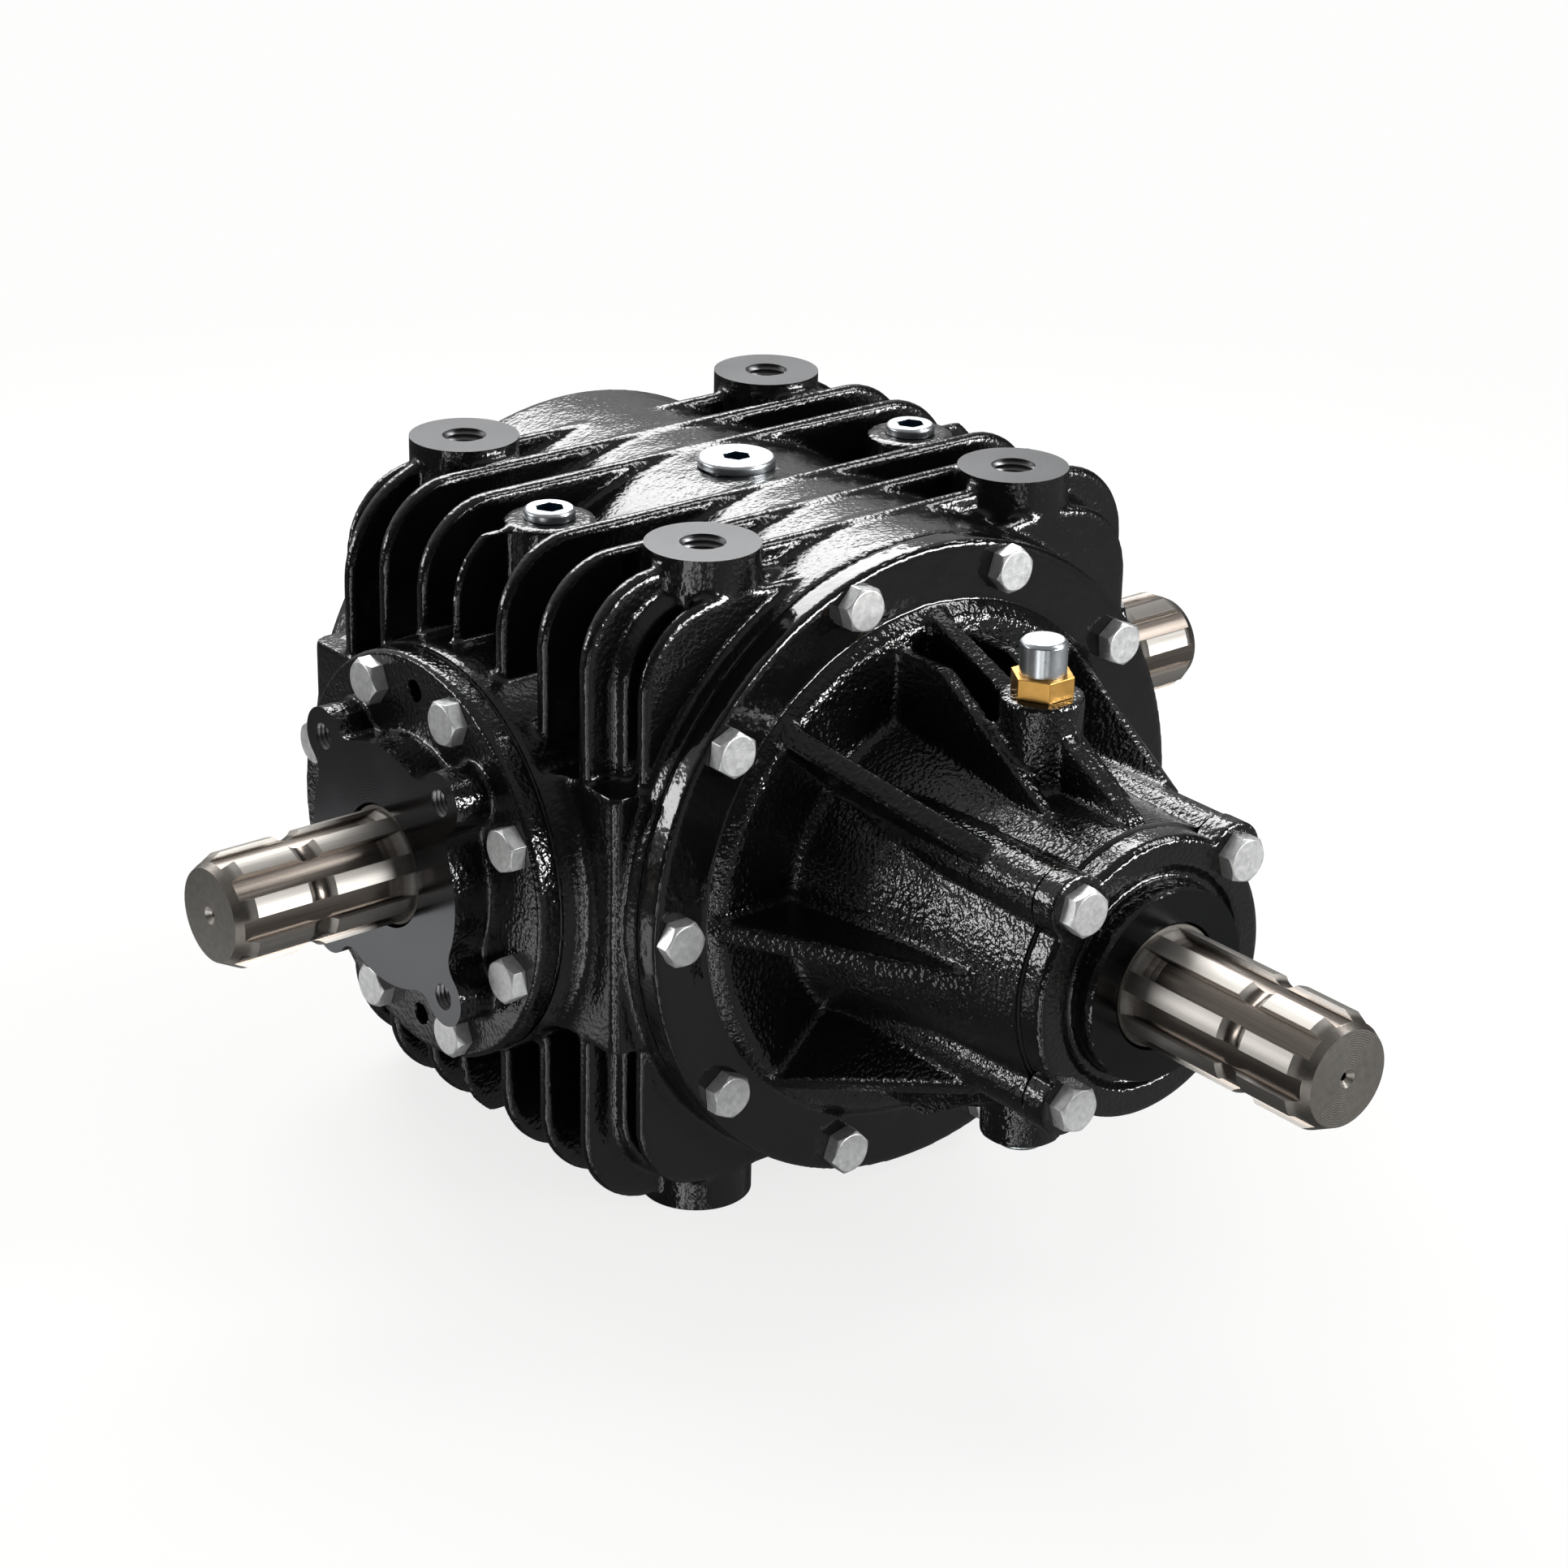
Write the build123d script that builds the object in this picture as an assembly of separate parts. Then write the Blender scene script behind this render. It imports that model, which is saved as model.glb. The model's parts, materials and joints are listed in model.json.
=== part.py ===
from build123d import *

import os
from math import acos, asin, atan, atan2, cos, degrees, pi, radians, sin, sqrt, tan

# Right-angle T gearbox with a finned cast-iron housing. A splined output shaft passes straight
# through it along X, and a splined input shaft leaves a ribbed bell cover towards -Y. A bevel
# pinion on the input shaft drives a bevel crown gear on the output shaft.
# Every piece is modelled about the point where the two shaft axes cross, in millimetres with +Z
# up, and is lifted at the end so that z = 0 is the face of the four lower mounting bosses.

# ---- housing -------------------------------------------------------------------------------
axis_height = 108.0        # mounting faces, above and below, to the shaft axes
barrel_dia = 207.0
cavity_dia = 174.0
front_joint = 86.0         # cross axis to the front face of the housing
rear_face = 93.0
rear_wall = 10.0
rear_round = 3.0
side_joint = 114.5         # input axis to each side cover face
pedestal_dia = 132.0
belt_height = 84.0         # the thick band that carries the side covers
belt_width = 214.0
belt_front = 80.5
belt_rear = 84.0
belt_round = 3.0
belt_blend = 7.0           # hollow from the belt to the pedestal of each side cover

fin_pitch = 21.33
fin_thick = 5.0
fin_width = 214.0
fin_height = 208.4
fin_corner = 27.0
fin_bevel = 1.2
rear_fin = (213.0, 206.0, 37.0)
middle_fin_thick = 3.0     # broken fin beside the level plugs
middle_fin_row = 2.5
middle_fin_drop = 1.5      # its top lies below the seats of those plugs
stub_fin = (193.0, 194.0, 27.0)
stub_fin_thick = 4.2       # the two smaller fins beside each end of the barrel
stub_fin_rows = (69.0, 78.0)

boss_pitch_x = 123.0
boss_pitch_y = 125.0
boss_dia = 35.3
boss_tap_dia = 14.0
boss_tap_depth = 26.0

# ---- plugs ---------------------------------------------------------------------------------
fill_plug_thread = 20.0
fill_plug_head = 25.0
fill_plug_height = 3.0
fill_plug_drop = 1.0       # its seat lies this far below the tops of the fins
side_plug_offset = 72.5
side_plug_boss = 28.5
side_plug_drop = 3.9
side_plug_thread = 12.0
side_plug_head = 16.0
side_plug_height = 3.2
plug_thread_length = 14.0
hex_key = 8.0

# ---- fasteners (M8 hexagon head) -----------------------------------------------------------
bolt_dia = 8.0
bolt_head_flats = 13.0
bolt_head_height = 5.3
bolt_clearance = 0.5       # added to the radius of a through hole
thread_gap = 0.05          # between a bolt and its tapped hole, on the radius

# ---- input bell cover ----------------------------------------------------------------------
gasket = 0.5
bell_flange_thick = 9.3
bell_bolt_circle = 190.8
bell_bolt_count = 10
bell_bolt_length = 26.0
web_dia = 166.0
web_rise = 3.7             # the web stands this far out of the bolt ring
spigot_length = 5.0
spigot_wall = 9.0
spigot_gap = 0.1
cone_dia = 110.0           # nose where it leaves the web
nose_mid_dia = 93.0
nose_end_dia = 90.0
nose_mid = 150.0
nose_end = 189.0
rib_thick = 7.0
rib_end = 166.0
rib_end_dia = 108.0
flat_rib_end = 179.0       # the two level ribs run further along the nose
flat_rib_end_dia = 84.0
post_dia = 19.0
post_start = 104.0
cheek_thick = 5.0
cheek_offset = 13.5        # the two flank walls of the breather tower
cheek_level = 74.5
cheek_level_end = 119.0
cheek_foot = 44.0
cheek_end = 168.0
crest_level = 69.0         # where the crest behind the breather meets its boss
strut_level = 68.5
strut_foot = 47.0

# ---- breather ------------------------------------------------------------------------------
breather_axis = 146.0
breather_boss_dia = 25.5
breather_boss_top = 72.5
breather_tap_dia = 12.0
breather_hex = 17.0
breather_hex_height = 6.5
breather_cap_dia = 14.2
breather_cap_height = 10.5
breather_bore = 4.0

# ---- input cap -----------------------------------------------------------------------------
cap_bolt_circle = 88.2
cap_bolt_length = 22.0
cap_thick = 9.0
cap_dia = 88.0
cap_ear_dia = 20.0
cap_hub_dia = 60.6
cap_hub_rise = 6.0
seal_opening = 39.8

# ---- side covers ---------------------------------------------------------------------------
shim = 0.6
side_cover_dia = 130.4
side_flange_thick = 8.1
side_bolt_circle = 112.4
side_bolt_count = 8
side_bolt_length = 25.0
jack_hole_circle = 109.2
pad_rise = 12.8
pad_disc_dia = 79.0
pad_ear_dia = 19.0
pad_bolt_circle = 91.0
pad_tap_dia = 8.5
pad_tap_depth = 17.0
pad_blend = 7.0
cover_spigot = 9.0

# ---- shafts (8 x 32 x 36 straight-sided splines) --------------------------------------------
spline_dia = 36.0
spline_root = 32.0
spline_tooth = 6.0
spline_count = 8
spline_phase = 22.5
spline_end_dia = 29.4
spline_end_length = 6.6
spline_run_out = 12.0      # length over which the cutter leaves the shaft
detent_radius = 6.1
detent_from_end = 29.6
centre_dia = 2.4
centre_mouth_dia = 5.6
centre_depth = 9.0
output_half = 197.1
output_spline_start = 135.0
input_end = 276.1
input_spline_start = 204.0
journal_dia = 38.0
output_collar_dia = 62.0
output_collar = 7.0
output_seat_dia = 52.0     # under the crown gear and the spacers
pinion_seat_dia = 32.0
pinion_thread_dia = 25.0
input_collar_dia = 44.0
input_collar = 5.0
fit_gap = 0.02             # between pieces pressed or slid together, on the radius
running_gap = 0.05         # seal lips and rollers against what turns past them

# ---- bearings (bore, outside, width, cone width, cup width, roller diameter and length) -----
output_bearing = (45.0, 85.0, 20.75, 19.0, 16.0, 8.8, 12.8)
front_bearing = (35.0, 72.0, 18.25, 17.0, 15.0, 7.8, 11.0)
rear_bearing = (35.0, 72.0, 24.25, 23.0, 19.0, 7.8, 16.0)
roller_count = 16
roller_tilt = 12.5         # degrees between a roller and the shaft

# ---- seals ---------------------------------------------------------------------------------
output_seal_dia = 62.0
output_seal_width = 10.0
input_seal_dia = 52.0
input_seal_width = 9.0

# ---- bevel gears ---------------------------------------------------------------------------
module = 5.0
pinion_teeth = 15
crown_teeth = 27
face_width = 24.0
pressure_angle = 20.0
root_depth = 1.25          # of the module, below the pitch cone
backlash = 0.30            # taken from each tooth, at the large end
crown_hub_dia = 76.0
crown_hub_front = 22.0
crown_hub_back = 68.0
crown_rim_back = 50.0
pinion_hub_dia = 58.0
pinion_front = 46.5
pinion_back = 92.0
crown_key = (14.0, 9.0, 36.0)
pinion_key = (8.0, 7.0, 30.0)
nut_dia = 38.0
nut_width = 9.0
nut_slot = 5.0

# ---- derived positions, measured from the crossing of the axes ------------------------------
barrel_r = barrel_dia / 2
cavity_r = cavity_dia / 2
fill_plug_seat = fin_height / 2 - fill_plug_drop
side_plug_seat = fin_height / 2 - side_plug_drop
bell_back = front_joint + gasket
bell_seat = bell_back + bell_flange_thick
web_face = bell_seat + web_rise
cap_back = nose_end + gasket
cap_seat = cap_back + cap_thick
cap_face = cap_seat + cap_hub_rise
cover_back = side_joint + shim
cover_seat = cover_back + side_flange_thick
pad_face = cover_seat + pad_rise
output_cup_back = cover_back - cover_spigot
output_cone_back = output_cup_back - output_bearing[2]
rear_cup_back = pinion_back + rear_bearing[2]
input_collar_start = 182.0
front_cup_back = input_collar_start - front_bearing[2]
pinion_pitch_r = module * pinion_teeth / 2
crown_pitch_r = module * crown_teeth / 2
pitch_slant = sqrt(pinion_pitch_r**2 + crown_pitch_r**2)
inner_scale = 1 - face_width / pitch_slant

# ---- how a piece modelled along +Z is laid along each shaft ----------------------------------
to_right = Rot(0, 90, 0)
to_left = Rot(0, -90, 0)
to_front = Rot(90, 0, 0)


# ---- shared forms ----------------------------------------------------------------------------
def turned(*profile):
    """Solid of revolution about Z from its (along, radius) corners."""
    corners = [(radius, along) for along, radius in profile]
    return revolve(Plane.XZ * Polygon(*corners, align=None), Axis.Z)


def rod(diameter, start, end):
    return Pos(0, 0, start) * Cylinder(diameter / 2, end - start, align=(Align.CENTER, Align.CENTER, Align.MIN))


def ring(outer, inner, start, end):
    return rod(outer, start, end) - rod(inner, start - 1, end + 1)


def around(shape, count, first=0.0):
    return [Rot(0, 0, first + 360 * i / count) * shape for i in range(count)]


def on_circle(shape, circle, count, first=0.0):
    return around(Pos(circle / 2, 0, 0) * shape, count, first)


def slab(thickness, *profile):
    """Flat plate through the Z axis from its (along, radius) corners."""
    corners = [(radius, along) for along, radius in profile]
    return extrude(Plane.XZ * Polygon(*corners, align=None), thickness / 2, both=True)


def hexagon(flats, start, height):
    return extrude(Plane.XY.offset(start) * RegularPolygon(flats / sqrt(3), 6), height)


def hex_bolt(length):
    """Bolt with its head on z = 0 and its shank pointing down."""
    corner = bolt_head_flats / sqrt(3)
    crown = turned((0, 0), (0, corner), (bolt_head_height - 1, corner),
                   (bolt_head_height, bolt_head_flats / 2 - 0.3), (bolt_head_height, 0))
    shank = turned((0.2, 0), (0.2, bolt_dia / 2), (1 - length, bolt_dia / 2),
                   (-length, bolt_dia / 2 - 1), (-length, 0))
    return (hexagon(bolt_head_flats, 0, bolt_head_height) & crown) + shank


def socket_plug(thread, head, height, length):
    """Plug with its head on z = 0, a hexagon socket in it and its thread pointing down."""
    body = turned((-length, 0), (-length, thread / 2 - 1), (1 - length, thread / 2), (0, thread / 2),
                  (0, head / 2), (height - 0.8, head / 2), (height, head / 2 - 0.8), (height, 0))
    return body - hexagon(hex_key, height - 6, 7)


def spline_section():
    teeth = [Rot(0, 0, 180 * i / (spline_count // 2)) * Rectangle(spline_dia, spline_tooth)
             for i in range(spline_count // 2)]
    return (Circle(spline_root / 2) + teeth) & Circle(spline_dia / 2)


def splined_end(start, end):
    """Splined length from start to end along +Z, with the run-out and detent groove of a drive shaft."""
    half, root, tip = spline_dia / 2, spline_root / 2, spline_end_dia / 2
    prism = extrude(Plane.XY.offset(start) * spline_section(), end - start)
    envelope = turned((start, 0), (start, half), (end - spline_end_length, half), (end, tip), (end, 0))
    detent = Pos(0, 0, end - detent_from_end) * Torus(root + detent_radius, detent_radius)
    shares = [i / 5 for i in range(6)]
    rise = half - root + 0.1
    ramp = [(start + spline_run_out * share, half - rise * (1 - (1 - share)**2)) for share in shares]
    run_out = turned((start, 0), *ramp, (start + spline_run_out, 0))
    mouth, hole = centre_mouth_dia / 2, centre_dia / 2
    centre = turned((end - centre_depth, 0), (end - centre_depth + hole, hole), (end - mouth + hole, hole),
                    (end + hole, mouth + hole), (end + hole, 0))
    return Rot(0, 0, spline_phase) * ((prism & envelope) - detent) + run_out - centre


# ---- bearings and seals ----------------------------------------------------------------------
class TaperedBearing:
    """Tapered roller bearing along +Z: its cup stands on z = 0 and its cone ends at the full width."""

    def __init__(self, bore, outside, width, cone_width, cup_width, roller_dia, roller_length):
        self.bore, self.outside, self.width = bore, outside, width
        self.cone_width, self.cup_width, self.roller_dia = cone_width, cup_width, roller_dia
        self.tilt = radians(roller_tilt)
        self.slant = (bore + outside) / 4 / sin(self.tilt)
        self.apex = width / 2 - self.slant * cos(self.tilt)
        self.half_taper = atan(roller_dia / 2 / self.slant)
        self.near = self.slant - roller_length / 2
        self.far = self.slant + roller_length / 2

    def point(self, slant, offset):
        """(along, radius) of a point at a slant distance from the apex, off the roller's own axis."""
        along = self.apex + slant * cos(self.tilt) - offset * sin(self.tilt)
        return along, slant * sin(self.tilt) + offset * cos(self.tilt)

    def race(self, along, side):
        return (along - self.apex) * tan(self.tilt + side * self.half_taper)

    def cup(self):
        half = self.outside / 2
        low = self.race(0, 1) + running_gap
        high = self.race(self.cup_width, 1) + running_gap
        return turned((0, low), (0, half - 1), (1, half), (self.cup_width, half), (self.cup_width, high))

    def cone(self):
        front = self.width - self.cone_width
        small = self.point(self.near - 0.2, -self.near * tan(self.half_taper) - fit_gap)
        small_rib = self.point(self.near - 0.2, 1.2 - self.near * tan(self.half_taper))
        large = self.point(self.far + 0.2, -self.far * tan(self.half_taper) - fit_gap)
        large_rib = self.point(self.far + 0.2, 2.6 - self.far * tan(self.half_taper))
        return turned((front, self.bore / 2), (front, small_rib[1]), small_rib, small, large, large_rib,
                      (self.width, large_rib[1]), (self.width, self.bore / 2))

    def roller(self, grow=0.0):
        near_r = self.near * tan(self.half_taper) + grow
        far_r = self.far * tan(self.half_taper) + grow
        body = turned((self.near - grow, 0), (self.near - grow, near_r), (self.far + grow, far_r),
                      (self.far + grow, 0))
        return Pos(0, 0, self.apex) * (Rot(0, degrees(self.tilt), 0) * body)

    def rollers(self):
        return around(self.roller(), roller_count)

    def cage(self):
        low, high = 0.24 * self.roller_dia, 0.38 * self.roller_dia
        band = turned(self.point(self.near - 1.6, low), self.point(self.far + 1.6, low),
                      self.point(self.far + 1.6, high), self.point(self.near - 1.6, high))
        return band - around(self.roller(0.15), roller_count)


def shaft_seal(shaft, outside, width):
    """Lip seal on z = 0, its lip facing the oil at +Z."""
    lip = shaft / 2 + running_gap
    edge = outside / 2
    return turned((0, lip + 2.2), (0, edge), (width, edge), (width, edge - 1.8), (2.2, edge - 1.8),
                  (2.2, lip + 5), (0.75 * width, lip + 3), (0.75 * width, lip + 0.6), (0.55 * width, lip),
                  (0.35 * width, lip + 1.4))


# ---- bevel gears -----------------------------------------------------------------------------
class BevelGear:
    """Straight bevel gear about +Z with the apex of its pitch cone at the origin."""

    def __init__(self, teeth, mate_teeth):
        self.teeth = teeth
        self.cone_angle = atan2(teeth, mate_teeth)
        self.pitch_r = module * teeth / 2
        self.pitch_along = module * mate_teeth / 2
        self.virtual_r = self.pitch_r / cos(self.cone_angle)
        self.tip = self.on_back_cone(self.virtual_r + module)
        self.root = self.on_back_cone(self.virtual_r - root_depth * module)

    def on_back_cone(self, reach):
        """(along, radius) at a distance from the tip of the cone that closes the large end."""
        rise = reach - self.virtual_r
        return self.pitch_along - rise * sin(self.cone_angle), reach * cos(self.cone_angle)

    def half_tooth(self, reach):
        """Half the angle that a tooth fills about the gear's axis, at that distance."""
        base_r = self.virtual_r * cos(radians(pressure_angle))
        here = acos(min(1.0, base_r / reach))
        pitch = radians(pressure_angle)
        involute = (tan(pitch) - pitch) - (tan(here) - here)
        virtual_teeth = 2 * self.virtual_r / module
        angle = pi / 2 / virtual_teeth + involute - backlash / 2 / self.virtual_r
        return angle / cos(self.cone_angle)

    def outline(self, along, phase):
        """Closed tooth outline in the plane at that distance from the apex."""
        steps = 5
        low, high = self.virtual_r - root_depth * module, self.virtual_r + module
        flank = []
        for i in range(steps + 1):
            reach = low + (high - low) * i / steps
            point_along, radius = self.on_back_cone(reach)
            flank.append((radius * along / point_along, self.half_tooth(reach)))
        corners = []
        for tooth in range(self.teeth):
            middle = phase + 2 * pi * tooth / self.teeth
            corners += [(r * cos(middle - a), r * sin(middle - a)) for r, a in flank]
            corners += [(r * cos(middle + a), r * sin(middle + a)) for r, a in reversed(flank)]
        return corners

    def toothed(self, blank, near, far, phase):
        """The blank cut to the teeth, between two distances from the apex."""
        ends = [Plane.XY.offset(along) * Polygon(*self.outline(along, phase), align=None) for along in (near, far)]
        return loft(ends, ruled=True) & blank

    def inner(self, point):
        """The point on the same line to the apex, at the small end of the teeth."""
        return point[0] * inner_scale, point[1] * inner_scale


pinion_gear = BevelGear(pinion_teeth, crown_teeth)
crown = BevelGear(crown_teeth, pinion_teeth)


def crown_gear():
    back_lip = crown.on_back_cone(crown.virtual_r - (root_depth + 0.7) * module)
    throat = crown.inner(crown.on_back_cone(crown.virtual_r - (root_depth + 0.35) * module))
    core = crown_hub_dia / 2 - 2
    rim = turned(crown.inner(crown.tip), crown.tip, back_lip, (crown_rim_back, back_lip[1] - 2),
                 (crown_rim_back, core), (throat[0] + 0.5, core), throat)
    teeth = crown.toothed(rim, crown_hub_front - 4, crown_rim_back + 5, pi / crown_teeth - pi / 2)
    hub = turned((crown_hub_front, output_seat_dia / 2), (crown_hub_front, crown_hub_dia / 2 - 1),
                 (crown_hub_front + 1, crown_hub_dia / 2), (throat[0] + 1.5, crown_hub_dia / 2),
                 (throat[0] + 3.5, crown_hub_dia / 2 + 3), (crown_rim_back - 2, crown_hub_dia / 2 + 3),
                 (crown_rim_back + 4, crown_hub_dia / 2), (crown_hub_back - 1, crown_hub_dia / 2),
                 (crown_hub_back, crown_hub_dia / 2 - 1), (crown_hub_back, output_seat_dia / 2))
    bore = rod(output_seat_dia + 2 * fit_gap, 0, crown_hub_back + 1)
    width, height, _ = crown_key
    keyway = Pos(0, output_seat_dia / 2, crown_hub_front) * Box(
        width + 2 * fit_gap, height + 0.4, 2 * crown_hub_back, align=(Align.CENTER, Align.CENTER, Align.CENTER))
    return teeth + hub - bore - keyway


def bevel_pinion():
    back_lip = pinion_gear.on_back_cone(pinion_gear.virtual_r - (root_depth + 0.3) * module)
    throat = pinion_gear.inner(pinion_gear.root)
    blank = turned((pinion_front, pinion_seat_dia / 2), (pinion_front, throat[1] - 1.8), throat,
                   pinion_gear.inner(pinion_gear.tip), pinion_gear.tip, back_lip,
                   (back_lip[0] + 1.5, pinion_hub_dia / 2), (pinion_back, pinion_hub_dia / 2),
                   (pinion_back, pinion_seat_dia / 2))
    gear = pinion_gear.toothed(blank, pinion_front - 3, pinion_back + 3, 0.0)
    width, height, _ = pinion_key
    keyway = Pos(0, pinion_seat_dia / 2, pinion_back) * Box(width + 2 * fit_gap, height + 0.4, 2 * pinion_back)
    return gear - rod(pinion_seat_dia + 2 * fit_gap, 0, pinion_back + 1) - keyway


# ---- shafts and what is clamped on them --------------------------------------------------------
def output_shaft():
    seat, journal, bearing = output_seat_dia / 2, journal_dia / 2, output_bearing[0] / 2
    collar_start = crown_hub_front - output_collar
    bearing_end = output_cup_back + 2
    step = output_cone_back
    middle = turned((-output_spline_start, 0), (-output_spline_start, journal), (-bearing_end - 1, journal),
                    (-bearing_end, bearing), (-step, bearing), (-step, seat), (collar_start, seat),
                    (collar_start, output_collar_dia / 2), (crown_hub_front, output_collar_dia / 2),
                    (crown_hub_front, seat), (step, seat), (step, bearing), (bearing_end, bearing),
                    (bearing_end + 1, journal), (output_spline_start, journal), (output_spline_start, 0))
    width, height, length = crown_key
    keyway = Pos(0, seat, crown_hub_front + 4) * Box(
        width + 2 * fit_gap, height + 0.2, length + 0.4, align=(Align.CENTER, Align.CENTER, Align.MIN))
    end = splined_end(output_spline_start - 0.5, output_half)
    far_end = Rot(180, 0, 0) * Rot(0, 0, -2 * spline_phase) * end
    return middle - keyway + end + far_end


def output_spacer(start, end):
    return ring(output_seat_dia + 10, output_seat_dia + 2 * fit_gap, start, end)


def input_shaft():
    seat, journal, bearing = pinion_seat_dia / 2, journal_dia / 2, front_bearing[0] / 2
    thread, collar_end = pinion_thread_dia / 2, input_collar_start + input_collar
    thread_end = pinion_front - nut_width - 2
    middle = turned((thread_end, 0), (thread_end, thread - 1), (thread_end + 1, thread), (pinion_front, thread),
                    (pinion_front, seat), (pinion_back, seat), (pinion_back, bearing),
                    (input_collar_start, bearing), (input_collar_start, input_collar_dia / 2),
                    (collar_end, input_collar_dia / 2), (collar_end, journal), (input_spline_start, journal),
                    (input_spline_start, 0))
    width, height, length = pinion_key
    keyway = Pos(0, seat, pinion_back - 6 - length) * Box(
        width + 2 * fit_gap, height + 0.2, length + 0.4, align=(Align.CENTER, Align.CENTER, Align.MIN))
    return middle - keyway + splined_end(input_spline_start - 0.5, input_end)


def input_spacer():
    start = pinion_back + rear_bearing[3] + 0.1
    end = input_collar_start - front_bearing[3] - 0.1
    return ring(front_bearing[0] + 9, front_bearing[0] + 2 * fit_gap, start, end)


def shaft_key(size, seat_dia, start):
    width, height, length = size
    align = (Align.CENTER, Align.CENTER, Align.MIN)
    return Pos(0, seat_dia / 2, start + 0.2) * Box(width, height, length, align=align)


def pinion_nut():
    start = pinion_front - nut_width
    body = turned((start, pinion_thread_dia / 2 + fit_gap), (start, nut_dia / 2 - 1), (start + 1, nut_dia / 2),
                  (pinion_front, nut_dia / 2), (pinion_front, pinion_thread_dia / 2 + fit_gap))
    slots = on_circle(Pos(0, 0, start) * Box(5, nut_slot, nut_width), nut_dia, 4, 45)
    return body - slots


# ---- covers ------------------------------------------------------------------------------------
def input_cover():
    """Bell cover along +Z, from its joint with the housing to the joint with the input cap."""
    flange_r, web_r, cone_r = barrel_dia / 2, web_dia / 2, cone_dia / 2
    mid_r, end_r, bore_r = nose_mid_dia / 2, nose_end_dia / 2, rear_bearing[1] / 2
    body = turned((bell_back, 0), (bell_back, flange_r), (bell_seat - 0.8, flange_r), (bell_seat, flange_r - 0.8),
                  (bell_seat, web_r + 1.2), (bell_seat + 0.4 * web_rise, web_r), (web_face - 0.8, web_r - 1.5),
                  (web_face, web_r - 3.5), (web_face, cone_r + 1.5), (web_face + 2, cone_r - 0.4),
                  (nose_mid, mid_r), (nose_end, end_r), (nose_end, 0))
    rib = slab(rib_thick, (bell_seat, web_r + 1), (rib_end - 1.5, rib_end_dia / 2 + 1), (rib_end, rib_end_dia / 2 - 1),
               (rib_end, 40), (bell_seat, 40))
    flat_rib = slab(rib_thick, (bell_seat, web_r + 1), (flat_rib_end, flat_rib_end_dia / 2), (flat_rib_end, 38),
                    (bell_seat, 38))
    ribs = around(rib, 4, 45) + around(flat_rib, 2)
    posts = on_circle(rod(post_dia, post_start, nose_end), cap_bolt_circle, 4, 45)
    crest = slab(rib_thick, (bell_seat, web_r + 1), (breather_axis - breather_boss_dia / 2 + 1, crest_level),
                 (breather_axis, 40), (bell_seat, 40))
    strut = slab(rib_thick - 1, (breather_axis, strut_level), (nose_end - 1, strut_foot), (nose_end - 1, 40),
                 (breather_axis, 40))
    cheek = slab(cheek_thick, (bell_seat, cheek_level), (cheek_level_end, cheek_level), (cheek_end, cheek_foot),
                 (bell_seat, cheek_foot))
    saddle = crest + strut + Pos(0, cheek_offset, 0) * cheek + Pos(0, -cheek_offset, 0) * cheek
    tower = Pos(0, 0, breather_axis) * (Rot(0, 90, 0) * (rod(breather_boss_dia, 38, breather_boss_top) + turned(
        (40, 0), (40, breather_boss_dia / 2 + 4), (48, breather_boss_dia / 2), (48, 0))))
    body = body + ribs + posts + around(saddle + tower, 2, 90)

    pocket_end = rear_cup_back
    bores = turned((bell_back - 1, 0), (bell_back - 1, cavity_r - 8 - spigot_wall),
                   (bell_back + 2, cavity_r - 8 - spigot_wall), (bell_back + 4, bore_r + 6),
                   (bell_back + 4, bore_r + fit_gap), (pocket_end, bore_r + fit_gap), (pocket_end, bore_r - 5.5),
                   (front_cup_back, bore_r - 5.5), (front_cup_back, bore_r + fit_gap),
                   (nose_end + 1, bore_r + fit_gap), (nose_end + 1, 0))
    bolt_hole = rod(bolt_dia + 2 * bolt_clearance, bell_back - 1, bell_seat + 1)
    cap_hole = rod(bolt_dia + 2 * thread_gap, nose_end - cap_bolt_length + cap_thick - 2, nose_end + 1)
    vent = Pos(0, 0, breather_axis) * (Rot(0, 90, 0) * rod(breather_tap_dia + 2 * thread_gap, 20, 90))
    drain = Pos(0, 0, breather_axis) * (Rot(0, -90, 0) * rod(side_plug_thread + 2 * thread_gap, 20, 90))
    turned_vent = Rot(0, 0, 90) * vent
    turned_drain = Rot(0, 0, 90) * drain
    body = body - bores - on_circle(bolt_hole, bell_bolt_circle, bell_bolt_count)
    body = body - on_circle(cap_hole, cap_bolt_circle, 4, 45) - turned_vent - turned_drain
    spigot = ring(cavity_dia - 2 * spigot_gap, cavity_dia - 2 * spigot_wall, bell_back - spigot_length, bell_back + 1)
    return body + spigot


def input_cap():
    ears = on_circle(rod(cap_ear_dia, cap_back, cap_seat), cap_bolt_circle, 4, 45)
    hub_r, end_r = cap_hub_dia / 2, cap_dia / 2
    body = turned((cap_back, 0), (cap_back, end_r), (cap_seat - 1.5, end_r), (cap_seat, end_r - 1.5),
                  (cap_seat, hub_r + 4.5), (cap_seat - 2.5, hub_r + 3), (cap_seat - 2.5, hub_r),
                  (cap_face - 1, hub_r), (cap_face, hub_r - 1), (cap_face, 0))
    spigot = rod(front_bearing[1] - 2 * spigot_gap, cap_back - 2.5, cap_back + 1)
    pocket = rod(input_seal_dia + 2 * fit_gap, cap_back - 4, cap_back - 2 + input_seal_width)
    opening = rod(seal_opening, cap_back, cap_face + 1)
    holes = on_circle(rod(bolt_dia + 2 * bolt_clearance, cap_back - 1, cap_seat + 1), cap_bolt_circle, 4, 45)
    return body + ears + spigot - pocket - opening - holes


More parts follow.
